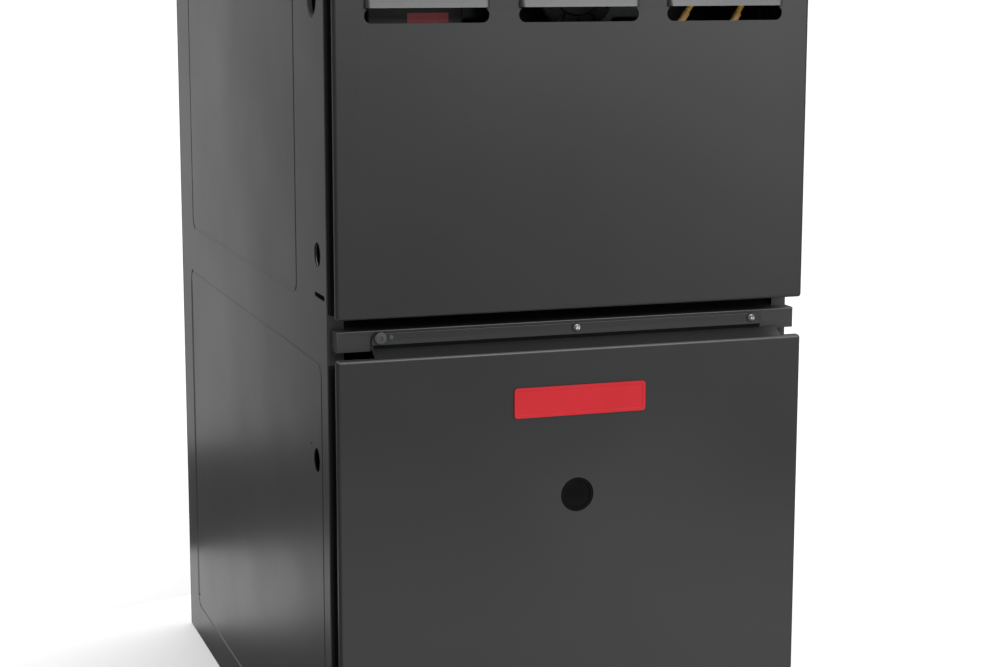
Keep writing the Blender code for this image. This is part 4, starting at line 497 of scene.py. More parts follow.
def soften(piece, width, segments=2, angle=40):
    finishWith(piece, "BEVEL", width=width, segments=segments, limit_method="ANGLE",
               angle_limit=math.radians(angle), use_clamp_overlap=True)
    return piece


def smoothed(piece, angle=35):
    focus(piece)
    bpy.ops.object.shade_smooth_by_angle(angle=math.radians(angle))
    return finishWith(piece, "WEIGHTED_NORMAL", keep_sharp=True)


def thicken(piece, wall):
    return finishWith(piece, "SOLIDIFY", thickness=wall, offset=-1, use_even_offset=True)


def rodTool(name, low, high, radius, sides=48):  # a round bar between two points
    low, high = Vector(low), Vector(high)
    clearSelection()
    bpy.ops.mesh.primitive_cylinder_add(
        vertices=sides, radius=radius, depth=(high - low).length, location=(low + high) / 2)
    piece = adopt(name)
    piece.rotation_euler = (high - low).to_track_quat("Z", "Y").to_euler()
    return settle(piece)


def drill(piece, x, z, reach, radius, sides=48):  # a round hole, front to back
    near, far = reach
    return carve(piece, rodTool("drill", (x, near, z), (x, far, z), radius, sides))


def traced(name, points):  # a chain of edges from point to point
    clearSelection()
    bpy.ops.mesh.primitive_plane_add(size=0.001, location=points[0])
    piece = settle(adopt(name))
    edit(piece, "VERT")
    selectAll()
    bpy.ops.mesh.merge(type="CENTER")
    for a, b in zip(points, points[1:]):
        bpy.ops.mesh.extrude_region_move(TRANSFORM_OT_translate={"value": Vector(b) - Vector(a)})
    return piece


def faceOut(piece):
    edit(piece)
    selectAll()
    bpy.ops.mesh.normals_make_consistent()
    done()


def spun(name, profile, centre, axis, steps=48, shut=False):
    # the profile holds (radius, distance along the axis); a ring's is shut into a loop
    piece = traced(name, [(radius, 0, height) for radius, height in profile])
    selectAll()
    if shut:
        ends = [Vector((radius, 0, height)) for radius, height in (profile[0], profile[-1])]
        pick(piece, "VERT", lambda v: min((v.co - end).length for end in ends) < 1e-6)
        bpy.ops.mesh.edge_face_add()
        selectAll()
    bpy.ops.mesh.spin(steps=steps, angle=math.tau, center=(0, 0, 0), axis=(0, 0, 1))
    selectAll()
    bpy.ops.mesh.remove_doubles(threshold=0.000005)
    done()
    faceOut(piece)
    piece.rotation_euler = Vector(axis).to_track_quat("Z", "Y").to_euler()
    piece.location = centre
    return smoothed(settle(piece))


def prism(name, outline, axis, low, high):  # an outline pulled along an axis
    at = "xyz".index(axis)
    piece = traced(name, [(*point[:at], low, *point[at:]) for point in outline])
    selectAll()
    bpy.ops.mesh.edge_face_add()
    pull = [high - low if letter == axis else 0 for letter in "xyz"]
    bpy.ops.mesh.extrude_region_move(TRANSFORM_OT_translate={"value": pull})
    done()
    faceOut(piece)
    return piece


def cord(name, points, radius, smooth=3):  # a round cord that follows the points
    piece = traced(name, points)
    done()
    if smooth:
        finishWith(piece, "SUBSURF", levels=smooth, render_levels=smooth)
    focus(piece)
    bpy.ops.object.convert(target="CURVE")
    run = bpy.context.active_object.data
    run.bevel_depth = radius
    run.bevel_resolution = 5
    run.use_fill_caps = True
    bpy.ops.object.convert(target="MESH")
    piece = adopt(name)
    faceOut(piece)
    return smoothed(piece, 50)


def again(piece, move):  # the piece once more with its own mesh, placed by a matrix
    focus(piece)
    bpy.ops.object.duplicate()
    twin = bpy.context.active_object
    twin.matrix_world = move
    return settle(twin)


def around(name, piece, count, centre, axis):  # copies of the piece turned round an axis
    parts = [piece]
    for i in range(1, count):
        turn = Matrix.Rotation(math.tau * i / count, 4, Vector(axis))
        home = Matrix.Translation(-Vector(centre))
        parts.append(again(piece, Matrix.Translation(centre) @ turn @ home))
    return joined(name, parts)


def joined(name, parts):
    clearSelection()
    for part in parts:
        part.select_set(True)
    bpy.context.view_layer.objects.active = parts[0]
    bpy.ops.object.join()
    return adopt(name)


def ringTool(name, low, high, corner, radius, x):
    # a round bead that follows a rectangle with round corners, on a casing side
    clearSelection()
    middle = (x, (low[0] + high[0]) / 2, (low[1] + high[1]) / 2)
    bpy.ops.mesh.primitive_plane_add(size=1, location=middle, rotation=(0, math.pi / 2, 0))
    piece = adopt(name)
    piece.scale = (high[1] - low[1], high[0] - low[0], 1)
    settle(piece)
    edit(piece, "VERT")
    selectAll()
    bpy.ops.mesh.bevel(offset=corner, segments=8, affect="VERTICES")
    selectAll()
    bpy.ops.mesh.delete(type="ONLY_FACE")
    done()
    bpy.ops.object.convert(target="CURVE")
    piece = bpy.context.active_object
    piece.data.bevel_depth = radius
    piece.data.bevel_resolution = 6
    bpy.ops.object.convert(target="MESH")
    piece = adopt(name)
    faceOut(piece)
    return piece


def seat(piece, body, node, slot, finish=None):  # node is the one that it stands for
    piece.data.materials.clear()
    piece.data.materials.append(finishes[finish or slot])
    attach(piece, body)
    if node:
        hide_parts(node)


def extra(piece, slot, finish=None):  # a piece of the cabinet that stands for no node
    seat(piece, "cabinet", None, slot, finish)


slots = {s["node"]: s["material_slot"] for s in frame["record"]["subparts"]}
for name, node in nodes.items():
    node.data.materials.clear()
    node.data.materials.append(finishes[slots[name]])

aimCamera()
setStudio()

# Casing sides: folded sheets with pressed outlines, wiring and gas holes
sideSheet = {
    "foldRadius": 0.0022,
    "wall": 0.001,
    "beadDepth": 0.0009,
    "creases": 22,
    "beadCorner": 0.012,
    "gasHole": (-0.2920, 0.7692, 0.0175),
    "holes": [(-0.3015, 0.5435, 0.0111), (-0.2900, 0.3537, 0.0111), (-0.2705, 0.3650, 0.0015)],
    "slot": (-0.3265, -0.2905, 0.5070, 0.0045),
    "beads": [((-0.2185, 0.4960), (0.2985, 0.8336), 0.0025),
              ((-0.3105, 0.0400), (0.3175, 0.4440), 0.0018)],
    "rearBead": (0.3150, 0.052, 0.432, 0.0235),
}


def foldedSide(name, side, node):
    look, past = sideSheet, 0.01
    low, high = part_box(node)
    sheet = block(name, low, high)
    dropFaces(sheet, lambda f: abs(f.normal.z) > 0.9 or f.normal.x * side < -0.9)
    outer = side * max(abs(low.x), abs(high.x))
    bevelWhere(sheet, along("z", lambda m: abs(m.x - outer) < 1e-4), look["foldRadius"], 5)
    thicken(sheet, look["wall"])
    for i, (a, b, radius) in enumerate(look["beads"]):
        reach = outer + side * (radius - look["beadDepth"])
        carve(sheet, ringTool(f"bead_{i}", a, b, look["beadCorner"], radius, reach))
    y, z0, z1, radius = look["rearBead"]
    reach = outer + side * (radius - look["beadDepth"])
    carve(sheet, rodTool("rear_bead", (reach, y, z0), (reach, y, z1), radius, 240))
    holes = look["holes"] + ([look["gasHole"]] if side < 0 else [])
    for i, (y, z, radius) in enumerate(holes):
        carve(sheet, rodTool(f"hole_{i}", (outer - past, y, z), (outer + past, y, z), radius))
    y0, y1, z, height = look["slot"]
    low, high = (outer - past, y0, z - height / 2), (outer + past, y1, z + height / 2)
    carve(sheet, rounded("slot", low, high, "x", height * 0.45, 4))
    return smoothed(sheet, look["creases"])


for side, end in ((-1, "left"), (1, "right")):
    node = end + "_side_panel"
    seat(foldedSide(f"{end}_side_sheet", side, node), "cabinet", node, "casing_paint")
print("casing sides done")

# Doors: drawn pans whose frame sits back from the skin's edge
doorFace = -0.3675
doorSheet = {
    "skinDepth": 0.006,
    "edgeRadius": 0.003,
    "inset": 0.009,
    "depth": 0.0327,
    "wall": 0.001,
}


def doorPan(name, low, high):
    look = doorSheet
    face = doorFace
    skin = block(name, (low.x, face, low.z), (high.x, face + look["skinDepth"], high.z))
    dropFaces(skin, facing(y=1))
    bevelWhere(skin, lambda e: onPlane(e, face) or along("y")(e), look["edgeRadius"], 5)
    middle = ((low.x + high.x) / 2, face, (low.z + high.z) / 2)
    width, height = high.x - low.x, high.z - low.z
    inset = 2 * look["inset"]
    pick(skin, "EDGE", lambda e: e.is_boundary)
    bpy.ops.mesh.extrude_edges_move(TRANSFORM_OT_translate={"value": (0, 0, 0)})
    bpy.ops.transform.resize(value=((width - inset) / width, 1, (height - inset) / height),
                             center_override=middle)
    bpy.ops.mesh.extrude_edges_move(
        TRANSFORM_OT_translate={"value": (0, look["depth"] - look["skinDepth"], 0)})
    faceOut(skin)
    # the skin's own front looks forward
    if max(skin.data.polygons, key=lambda p: p.area).normal.y > 0:
        edit(skin)
        selectAll()
        bpy.ops.mesh.flip_normals()
        done()
    return thicken(skin, look["wall"])


# Louvers: a hood that leans out over a slot with round ends
louver = {
    "columns": (-0.139, 0, 0.139),
    "rows": (0.7551, 0.8011),
    "width": 0.112,
    "slot": 0.0132,
    "hood": 0.022,
    "stands": 0.0049,
    "round": 0.0048,
    "wall": 0.001,
}


def hoodShape(name, x, z, inset):
    look = louver
    face = doorFace
    foot = z + look["slot"] / 2 - inset
    half = look["width"] / 2 - inset
    hood = block(name, (x - half, face - look["stands"] + inset, foot),
                 (x + half, face + 0.0006 + 2 * inset, foot + look["hood"]))
    pick(hood, "VERT", lambda v: v.co.z > foot + 0.001 and v.co.y < face)
    bpy.ops.transform.translate(value=(0, look["stands"] - inset + 0.0002, 0))

    def risesOut(edge):
        a, b = (v.co for v in edge.verts)
        run = a - b
        return max(a.y, b.y) < face + 0.0005 and run.length > 0.01 and abs(run.normalized().x) < 0.1

    bevelWhere(hood, risesOut, look["round"], 5)
    return hood


def louveredDoor():
    look = louver
    low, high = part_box("upper_door")
    door = doorPan("upper_door_sheet", low, high)
    for row, z in enumerate(look["rows"]):
        for column, x in enumerate(look["columns"]):
            tag = f"{row}_{column}"
            weld(door, hoodShape("hood_" + tag, x, z, 0))
            carve(door, hoodShape("hollow_" + tag, x, z, look["wall"]))
            half, rise = look["width"] / 2, look["slot"] / 2
            carve(door, rounded("slot_" + tag, (x - half, doorFace - 0.002, z - rise),
                                (x + half, doorFace + 0.003, z + rise), "y", rise - 0.0002, 8))
    return smoothed(door, 30)


seat(louveredDoor(), "upper_door", "upper_door", "door_paint")
print("upper door done")

# Lower door: its top slopes back to a hemmed lip, which is screwed to the rail
screwLip = {"half": 0.1875, "middle": 0.0005, "corner": 0.006, "front": -0.3543, "back": -0.3518,
            "start": -0.3645, "past": 0.0150,
            "crease": 0.4583, "foot": 0.4655, "top": 0.479, "slit": 0.0028, "wall": 0.001}
sightHole = {"centre": (0.0014, 0.3226), "radius": 0.01575, "cut": (-0.3755, -0.3605)}
doorScrews = {
    "height": 0.4748,
    "seat": -0.3546,
    "hole": 0.0024,
    "cut": (-0.3590, -0.3450),
    "railHole": 0.0023,
    "rivetAside": 0.0087,
    "clipAside": -0.0009,
    "places": {  # across, head's radius, radius of the rivet beside it
        "left": (-0.1785, 0.0057, 0.0026),
        "middle": (0.0044, 0.0042, 0),
        "right": (0.1770, 0.0042, 0),
    },
}


def foldedLip():
    look = screwLip
    x0, x1 = look["middle"] - look["half"], look["middle"] + look["half"]
    start, back, crease, foot, wall = (
        look[key] for key in ("start", "back", "crease", "foot", "wall"))
    outline = [(start, crease - wall), (start, crease), (back - 0.0005, foot),
               (back, foot - 0.0003), (back, foot - wall - 0.0006)]
    lip = prism("lip", outline, "x", x0, x1 + look["past"])
    layers = [("hem_back", look["back"] - 0.0012, look["back"], foot - 0.0008),
              ("hem_front", look["front"], look["back"] - 0.0011, foot + look["slit"])]
    for name, near, far, low in layers:
        layer = block(name, (x0, near, low), (x1, far, look["top"]))
        bevelWhere(layer, along("y", lambda m: m.z > look["top"] - 1e-4), look["corner"], 6)
        if name == "hem_front":
            soften(layer, 0.0005, 3, 60)
        weld(lip, layer)
    return lip


def blowerDoor():
    low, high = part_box("lower_door")
    door = doorPan("lower_door_sheet", low, Vector((high.x, high.y, screwLip["crease"])))
    weld(door, foldedLip())
    x, z = sightHole["centre"]
    drill(door, x, z, sightHole["cut"], sightHole["radius"], 64)
    for across, head, rivet in doorScrews["places"].values():
        drill(door, across, doorScrews["height"], doorScrews["cut"], doorScrews["hole"], 24)
    return smoothed(door, 30)


seat(blowerDoor(), "lower_door", "lower_door", "door_paint")
# A near-black strip in the slit under the hem: painted shade for the dark crease between the lip
# and the door's top
x0, x1 = (screwLip["middle"] + end * (screwLip["half"] - 0.0015) for end in (-1, 1))
creaseShade = block("lip_crease_shade", (x0, screwLip["front"] + 0.0004, screwLip["foot"] - 0.0002),
             (x1, screwLip["back"] - 0.0013, screwLip["foot"] + screwLip["slit"] + 0.0004))
seat(smoothed(soften(creaseShade, 0.0003)), "lower_door", None, "hose_rubber", "foam_painted_shade")
print("lower door done")

# Fasteners of the lip: all have the same shank
shank = mm((0, 12), (1.6, 12), (2, 10.8))


def fastened(name, profile, across, steps=32, shut=False):  # turned about a line through the lip
    return spun(name, profile, (across, doorScrews["seat"], doorScrews["height"]), (0, 1, 0),
                steps, shut)


def washer(name, across, head):
    profile = [(0.0021, 0), (head, 0), (head, -0.0005), (head * 0.9, -0.0010), (0.0021, -0.0010)]
    return fastened(name, profile, across, shut=True)


def hexScrew(name, across, head):  # a hexagon head with a cross slot, and a round shank
    seatAt, height = doorScrews["seat"], doorScrews["height"]
    body = fastened(name, shank + [(0.0020, -0.0010), (head * 0.62, -0.0010),
                                   (head * 0.62, -0.0014), (0, -0.0016)], across)
    clearSelection()
    bpy.ops.mesh.primitive_cylinder_add(vertices=6, radius=head * 0.56, depth=0.0032,
                                        location=(across, seatAt - 0.0026, height),
                                        rotation=(math.pi / 2, math.pi / 12, 0))
    nut = settle(adopt("hexagon"))
    bevelWhere(nut, lambda e: all(v.co.y < seatAt - 0.004 for v in e.verts), head * 0.12)
    weld(body, nut)
    for turned in (0, 1):
        arm, thin = head * 0.5, head * 0.1
        wide, tall = (arm, thin) if turned else (thin, arm)
        carve(body, block("cross", (across - wide, seatAt - 0.006, height - tall),
                          (across + wide, seatAt - 0.0032, height + tall)))
    return smoothed(body, 30)


def clipHead(name, across, head):  # the left fastener's broad flat head
    profile = shank + [(0.0020, 0), (head, 0), (head, -0.0012), (head * 0.94, -0.0020),
                       (head * 0.82, -0.0024), (head * 0.34, -0.0026), (head * 0.30, -0.0018),
                       (0, -0.0018)]
    return fastened(name, profile, across + doorScrews["clipAside"], 40)


for end, (across, head, rivet) in doorScrews["places"].items():
    node = "door_screw_" + end
    make, finish = (clipHead, "dull_grey") if rivet else (hexScrew, "bright_zinc")
    seat(make(node + "_piece", across, head), "lower_door", node, "zinc_plated", finish)
    if rivet:
        profile = [(0, 0), (rivet, 0), (rivet, -0.0006), (rivet * 0.7, -0.0013), (0, -0.0016)]
        stud = fastened("lip_rivet", profile, across + doorScrews["rivetAside"])
        seat(stud, "lower_door", None, "zinc_plated", finish)
    else:
        seat(washer(node + "_washer", across, head), "lower_door", None, "black_paint")
print("door screws done")

# Badge: a red plate with round corners, its face a little lower than its narrow rim
badge = {"corner": 0.0030, "edge": 0.0005, "border": 0.0022, "slope": 0.0002, "step": 0.0003}


def barePlate():
    low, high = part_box("badge_plate")
    plate = rounded("badge_piece", low, high, "y", badge["corner"], 6)
    pick(plate, "FACE", facing(y=-1))
    bpy.ops.mesh.inset(thickness=badge["edge"])
    bpy.ops.mesh.inset(thickness=badge["border"])
    bpy.ops.mesh.inset(thickness=badge["slope"], depth=-badge["step"])
    done()
    return smoothed(soften(plate, 0.00008, 2, 30), 25)


seat(barePlate(), "lower_door", "badge_plate", "red_vinyl")

# Sight glass: a near-black lens with a rolled rim, held by its flange behind the door; its
# near-black colour and faint reflection are painted shade for the dark behind the hole
lensShape = {"rim": 0.0026, "dish": 0.0006}


def sightGlass():
    radius = sightHole["radius"] - 0.0003
    rim, dish = lensShape["rim"], lensShape["dish"]
    lip = radius + 0.0035
    profile = [
        (0, 0.0042), (lip - 0.0002, 0.0042), (lip, 0.0038), (lip, 0.0013), (radius, 0.0013),
        (radius, 0.0008), (radius - 0.0002, 0.0004), (radius - 0.0008, 0.0003),
        (radius - rim, 0.0005), (radius - rim - 0.0003, 0.0015),
        (radius * 0.6, 0.0015 - dish * 0.4), (radius * 0.3, 0.0015 - dish * 0.8),
        (0, 0.0015 - dish),
    ]
    x, z = sightHole["centre"]
    return spun("sight_glass_piece", profile, (x, doorFace, z), (0, 1, 0), 64)


seat(sightGlass(), "lower_door", "sight_glass", "lens")
print("badge and sight glass done")

# Front rail: a folded channel between the doors, with its tongue under the deck's edge
railShape = {"ends": (-0.2185, 0.2215), "radius": 0.0012, "wall": 0.001}


def foldedRail():
    look = railShape
    low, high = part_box("front_rail")
    left, right = look["ends"]
    rail = block("front_rail_sheet", (left, low.y, low.z), (right, high.y, high.z))
    dropFaces(rail, facing(y=1))
    dropFaces(rail, facing(z=-1))
    bevelWhere(rail, lambda e: onPlane(e, low.y) and not e.is_boundary, look["radius"], 4)
    thicken(rail, look["wall"])
    reach = (low.y - 0.005, low.y + 0.005)
    for across, head, rivet in doorScrews["places"].values():
        drill(rail, across, doorScrews["height"], reach, doorScrews["railHole"], 24)
    return smoothed(rail)


seat(foldedRail(), "cabinet", "front_rail", "casing_paint")

# Foam strips that the doors' frames close on, beside both doors; their near-black foam is also
# painted shade for the deep gaps beside the doors
foam = {"across": (0.2137, 0.2219), "front": -0.3446, "back": -0.3347, "round": 0.0012,
        "runs": {"upper": (0.4945, 0.8572), "lower": (0.0060, 0.4492)}}


def foamStrip(name, side, low, high):
    near, far = sorted(side * x for x in foam["across"])
    strip = block(name, (near, foam["front"], low), (far, foam["back"], high))
    return smoothed(soften(strip, foam["round"], 3))


for door, (low, high) in foam["runs"].items():
    for end, side in (("left", -1), ("right", 1)):
        extra(foamStrip(f"{door}_foam_{end}", side, low, high), "hose_rubber", "foam_painted_shade")

# Seen through the louvers: the valve's cover with its label, a plug and a bushing, two wires
valveCover = {
    "low": (-0.1838, -0.3345, 0.7165), "high": (-0.0962, -0.3297, 0.7915), "edge": 0.0025,
    "knob": (-0.1179, 0.7351, 0.0140), "knobCut": (-0.34, -0.32),
    "wells": ((-0.1775, -0.1015), (0.7225, 0.7855)), "wellCut": (-0.3360, -0.3330),
    "wellRadius": 0.0030, "label": ((-0.1475, 0.7477), (-0.1100, 0.7563)),
}


def coverPlate():
    look = valveCover
    plate = block("valve_cover", look["low"], look["high"])
    bevelWhere(plate, lambda e: onPlane(e, look["low"][1]) or along("y")(e), look["edge"], 4)
    x, z, radius = look["knob"]
    drill(plate, x, z, look["knobCut"], radius)
    across, up = look["wells"]
    for z in up:
        for x in across:
            drill(plate, x, z, look["wellCut"], look["wellRadius"], 24)
    return smoothed(plate)


extra(coverPlate(), "black_plastic")
(x0, z0), (x1, z1) = valveCover["label"]
front = valveCover["low"][1]
label = block("valve_label", (x0, front - 0.0003, z0), (x1, front - 0.00002, z1))
extra(soften(label, 0.0001), "red_vinyl", "faded_red")
plug = spun("hole_plug", mm((0, 0), (18.5, 0), (18.5, 1), (17, 2.2), (13.5, 3), (12.5, 1.6),
    (0, 1.4)), (0.2211, -0.2835, 0.7520), (-1, 0, 0))
extra(plug, "black_plastic")
bushing = spun("pipe_bushing", mm((15, 0.2), (17.2, 0.2), (17.2, 1.3), (20, 1.3), (20, 3),
    (15.5, 4.2), (15, 3.6)), (-0.22225, -0.2920, 0.7692), (1, 0, 0), shut=True)
extra(bushing, "black_plastic")

wires = {
    "limit_wire": {
        "run": mm((4, -218.6, 690.2), (4, -238.4, 690.2), (40, -287.5, 688.2),
            (85, -331.5, 717.2), (115.5, -337.5, 754.2), (134, -331.5, 782.2), (148, -297.5, 805.2),
            (160, -245.1, 812.2), (160, -225.1, 812.2)),
        "sleeve": mm((80, -327, 713), (90, -332, 722.5), (101, -335, 735.5),
            (111, -336.5, 749), (115, -336.6, 755))},
    "rollout_wire": {
        "run": mm((68.1, -211.1, 650.2), (68.1, -230.9, 650.2), (100, -292.5, 670.2),
            (138, -333.5, 716.2), (166, -338.5, 754.2), (183, -329.5, 780.2), (190, -292.5, 800.2),
            (184, -245.1, 812.2), (184, -225.1, 812.2)),
        "sleeve": mm((133, -327, 712), (143, -333, 723), (154, -336, 737),
            (162, -337, 748), (166, -336.8, 754))},
}
wireRadius, sleeveRadius = 0.0025, 0.0033
for node, look in wires.items():
    run = cord(node + "_piece", look["run"], wireRadius)
    seat(run, "cabinet", node, "yellow_insulation")
    sleeve = cord(node + "_sleeve", look["sleeve"], sleeveRadius)
    extra(sleeve, "yellow_insulation", "peach_sleeve")
print("foam, cover, plugs and wires done")

# Back panel, clinched to the casing along its edges
backSheet = {"inset": 0.0085, "rows": 8, "radius": 0.0040, "depth": 0.0007}


def backPanel():
    look = backSheet
    low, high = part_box("back_panel")
    sheet = soften(block("back_sheet", low, high), 0.0004)
    tools = []
    y = high.y + look["radius"] - look["depth"]
    for x in (low.x + look["inset"], high.x - look["inset"]):
        for i in range(look["rows"]):
            z = low.z + (i + 0.5) * (high.z - low.z) / look["rows"]
            clearSelection()
            bpy.ops.mesh.primitive_uv_sphere_add(
                segments=20, ring_count=12, radius=look["radius"], location=(x, y, z))
            tools.append(settle(adopt(f"clinch_{len(tools)}")))
    return smoothed(carve(sheet, joined("clinches", tools)), 30)


seat(backPanel(), "cabinet", "back_panel", "casing_paint")

# Vent collar: a rolled ring with a bead, on its foot
collar = spun("vent_collar_piece", mm((36.8, 0), (46, 0), (46, 1.5), (39.6, 1.5), (38.4, 2),
    (38, 3.2), (38, 44), (39, 45.2), (39.5, 47), (39, 48.8), (38, 50), (38, 62), (37.7, 62.7),
    (37.1, 62.7), (36.8, 62)), (-0.0173, -0.25515, 0.8359), (0, 0, 1), 72, shut=True)
seat(collar, "cabinet", "vent_collar", "galvanised_steel")
print("back and vent collar done")

# Exhaust fan's motor: a vented can with a bore for its shaft
fanMotor = {"centre": (0.0180, -0.2778, 0.7756), "slots": 12, "round": 0.0017,
            "slot": ((-0.0019, -0.0440, 0.0255), (0.0019, -0.0330, 0.0345))}


def vented(body, look, axis):  # cuts a ring of round-ended slots
    low, high = ([a + b for a, b in zip(look["centre"], corner)] for corner in look["slot"])
    slot = rounded("slot", low, high, axis, look["round"], 4)
    about = [letter == axis for letter in "xyz"]
    return smoothed(carve(body, around("slots", slot, look["slots"], look["centre"], about)))


def exhaustMotor():
    can = spun("fan_motor", mm((0, 30), (6, 30), (6, 0), (23, 0), (23, 10), (36, 10), (37.6, 10.8),
        (38, 12.5), (38, 18), (37, 18.4), (37, 26.2), (38, 26.6), (38, 31), (37.2, 33.6), (35, 35),
        (24, 36.2), (22.5, 38), (10, 39.2), (8.5, 41.2), (0, 41.4)),
        fanMotor["centre"], (0, -1, 0), 64)
    return vented(can, fanMotor, "y")


seat(exhaustMotor(), "cabinet", "inducer_motor", "black_paint")

# Blower wheel: forward-curved blades between two rings, on a disc with a hub
wheel = {"centre": (0, 0.0525, 0.2639), "blades": 40, "inner": 0.1100, "outer": 0.1262,
         "sweep": 0.17, "lean": 0.05, "sheet": 0.0009, "reach": 0.1012, "rings": 0.1006}


def squirrelCage():
    look = wheel
    x, y, z = look["centre"]
    near, far = [], []
    for i in range(7):
        t = i / 6
        radius = look["inner"] + (look["outer"] - look["inner"]) * t
        angle = look["sweep"] * t * t - look["lean"] * t
        near.append((y + radius * math.cos(angle), z + radius * math.sin(angle)))
        angle += look["sheet"] / radius
        far.append((y + radius * math.cos(angle), z + radius * math.sin(angle)))
    blade = prism("blade", near + far[::-1], "x", -look["reach"], look["reach"])
    blades = around("blades", smoothed(blade, 50), look["blades"], look["centre"], (1, 0, 0))
    ring = mm((109.2, 0), (126.5, 0), (126.8, 0.4), (126.8, 1.6), (126, 1.8), (109.8, 1.8),
        (109.2, 1.2))
    rings = [spun("ring", ring, (side * look["rings"], y, z), (side, 0, 0), 96, shut=True)
             for side in (-1, 1)]
    disc = spun("disc", mm((6.6, 0), (20, 0), (20, 0.8), (60, 0.8), (64, 2.2), (112, 2.2),
        (115, 0.8), (126.6, 0.8), (126.6, 1.8), (112, 3.2), (64, 3.2), (60, 1.8), (20, 1.8),
        (19, 29), (17, 30.5), (6.6, 30.5)), (0.0005, y, z), (1, 0, 0), 96, shut=True)
    return joined("wheel_piece", [blades, *rings, disc])


seat(squirrelCage(), "blower_rotor", "blower_wheel", "galvanised_steel")

# Blower motor: end bells with cooling slots, and a bore for the shaft
bigMotor = {"centre": (-0.1460, 0.0525, 0.2639), "slots": 14, "round": 0.0030,
            "slot": ((-0.001, -0.0032, 0.0360), (0.0140, 0.0032, 0.0560))}


def blowerMotor():
    shell = spun("motor_shell", mm((0, 0.5), (10, 0.5), (12, 2), (14, 5.5), (30, 6.5), (52, 8),
        (63, 12), (68, 16), (70, 18), (70, 95), (68, 99), (63, 103), (52, 107), (30, 108.5),
        (14, 110), (12, 114.5), (8.5, 114.8), (8.5, 74), (0, 74)),
        bigMotor["centre"], (1, 0, 0), 72)
    return vented(shell, bigMotor, "x")


seat(blowerMotor(), "cabinet", "blower_motor", "black_paint")
print("motors and blower wheel done")

# Control board with its relays, strip, plugs and smoothing capacitors
board = {"low": (-0.0470, -0.2573, 0.2642), "high": (0.1030, -0.2557, 0.3842), "inset": 0.008,
         "hole": 0.0019, "relay": (0.0200, 0.0165, 0.0290),
         "relays": [(0.0130, 0.3540), (0.0430, 0.3540), (0.0730, 0.3540)],
         "strip": ((-0.0320, 0.2705), (0.0880, 0.2825)), "lanes": 10, "lane": 0.0119,
         "cans": [(-0.0280, 0.3360, 0.0062), (-0.0280, 0.3180, 0.0050)],
         "plugs": [((0.0050, 0.3040), (0.0350, 0.3140)), ((0.0480, 0.3020), (0.0880, 0.3150))],
         "chips": [((-0.0050, 0.3180), (0.0150, 0.3270)), ((0.0330, 0.3220), (0.0450, 0.3310))]}


def boardPlate():
    (x0, y0, z0), (x1, y1, z1) = board["low"], board["high"]
    plate = block("board_plate", board["low"], board["high"])
    inset = board["inset"]
    corners = [(x, z) for x in (x0 + inset, x1 - inset) for z in (z0 + inset, z1 - inset)]
    for x, z in corners:
        drill(plate, x, z, (y0 - 0.01, y1 + 0.01), board["hole"], 20)
    stand = mm((2, 0), (3.4, 0), (3.4, 7.8), (2, 7.8))
    stands = [spun(f"stand_{i}", stand, (x, y1 + 0.00005, z), (0, 1, 0), 20, shut=True)
              for i, (x, z) in enumerate(corners)]
    return joined("board_plate", [smoothed(plate, 30), *stands])


def boxPiece(name, low, high, edge):
    return smoothed(soften(block(name, low, high), edge), 40)


seat(boardPlate(), "cabinet", "control_board", "circuit_board")
top = board["low"][1] + 0.0001
wide, deep, tall = board["relay"]
for i, (x, z) in enumerate(board["relays"]):
    relay = boxPiece(f"relay_{i}", (x - wide / 2, top - deep, z - tall / 2),
                     (x + wide / 2, top, z + tall / 2), 0.0012)
    extra(relay, "circuit_board", "black_plastic")
(x0, z0), (x1, z1) = board["strip"]
strip = block("strip", (x0, top - 0.0095, z0), (x1, top, z1))
starts = [x0 + i * board["lane"] for i in range(board["lanes"])]
lanes = [block(f"lane_{i}", (x + 0.003, top - 0.011, z0 + 0.002),
               (x + board["lane"], top - 0.006, z1 + 0.01)) for i, x in enumerate(starts)]
strip = soften(carve(strip, joined("lanes", lanes)), 0.0004)
extra(smoothed(strip, 40), "circuit_board", "grey_plastic")
heads = [spun(f"head_{i}", mm((0, 0), (3, 0), (3, -1), (2.4, -1.8), (0, -2)),
              (x + 0.0075, top - 0.0061, z0 + 0.0075), (0, 1, 0), 20) for i, x in enumerate(starts)]
extra(joined("strip_screws", heads), "circuit_board", "zinc_plated")
for i, (x, z, radius) in enumerate(board["cans"]):
    profile = [(0, 0), (radius, 0), (radius, -0.0020), (radius * 0.94, -0.0026),
               (radius, -0.0032), (radius, -0.0150), (radius * 0.92, -0.0158), (0, -0.0156)]
    can = spun(f"can_{i}", profile, (x, top, z), (0, 1, 0), 32)
    extra(can, "circuit_board", "black_plastic")
for kind, finish, stand in (("plugs", "ceramic", 0.0110), ("chips", "black_plastic", 0.0030)):
    for i, ((x0, z0), (x1, z1)) in enumerate(board[kind]):
        piece = boxPiece(f"{kind}_{i}", (x0, top - stand, z0), (x1, top, z1), 0.0006)
        extra(piece, "circuit_board", finish)

# Transformer: a laminated core round a taped coil
core = {"low": (-0.1290, -0.2838, 0.3942), "high": (-0.0690, -0.2574, 0.4442),
        "leaves": 11, "groove": 0.0004,
        "coil": ((-0.1185, -0.2955, 0.3990), (-0.0795, -0.2481, 0.4394))}


def laminations():
    (x0, y0, z0), (x1, y1, z1) = core["low"], core["high"]
    pitch, groove = (y1 - y0) / core["leaves"], core["groove"]
    leaf = boxPiece("leaf", core["low"], (x1, y0 + pitch - 0.0002, z1), 0.0003)
    leaves = [leaf] + [again(leaf, Matrix.Translation((0, i * pitch, 0)))
                       for i in range(1, core["leaves"])]
    heart = block("heart", (x0 + groove, y0 + 0.0005, z0 + groove),
                  (x1 - groove, y1 - 0.0007, z1 - groove))
    return joined("core_leaves", [heart, *leaves])


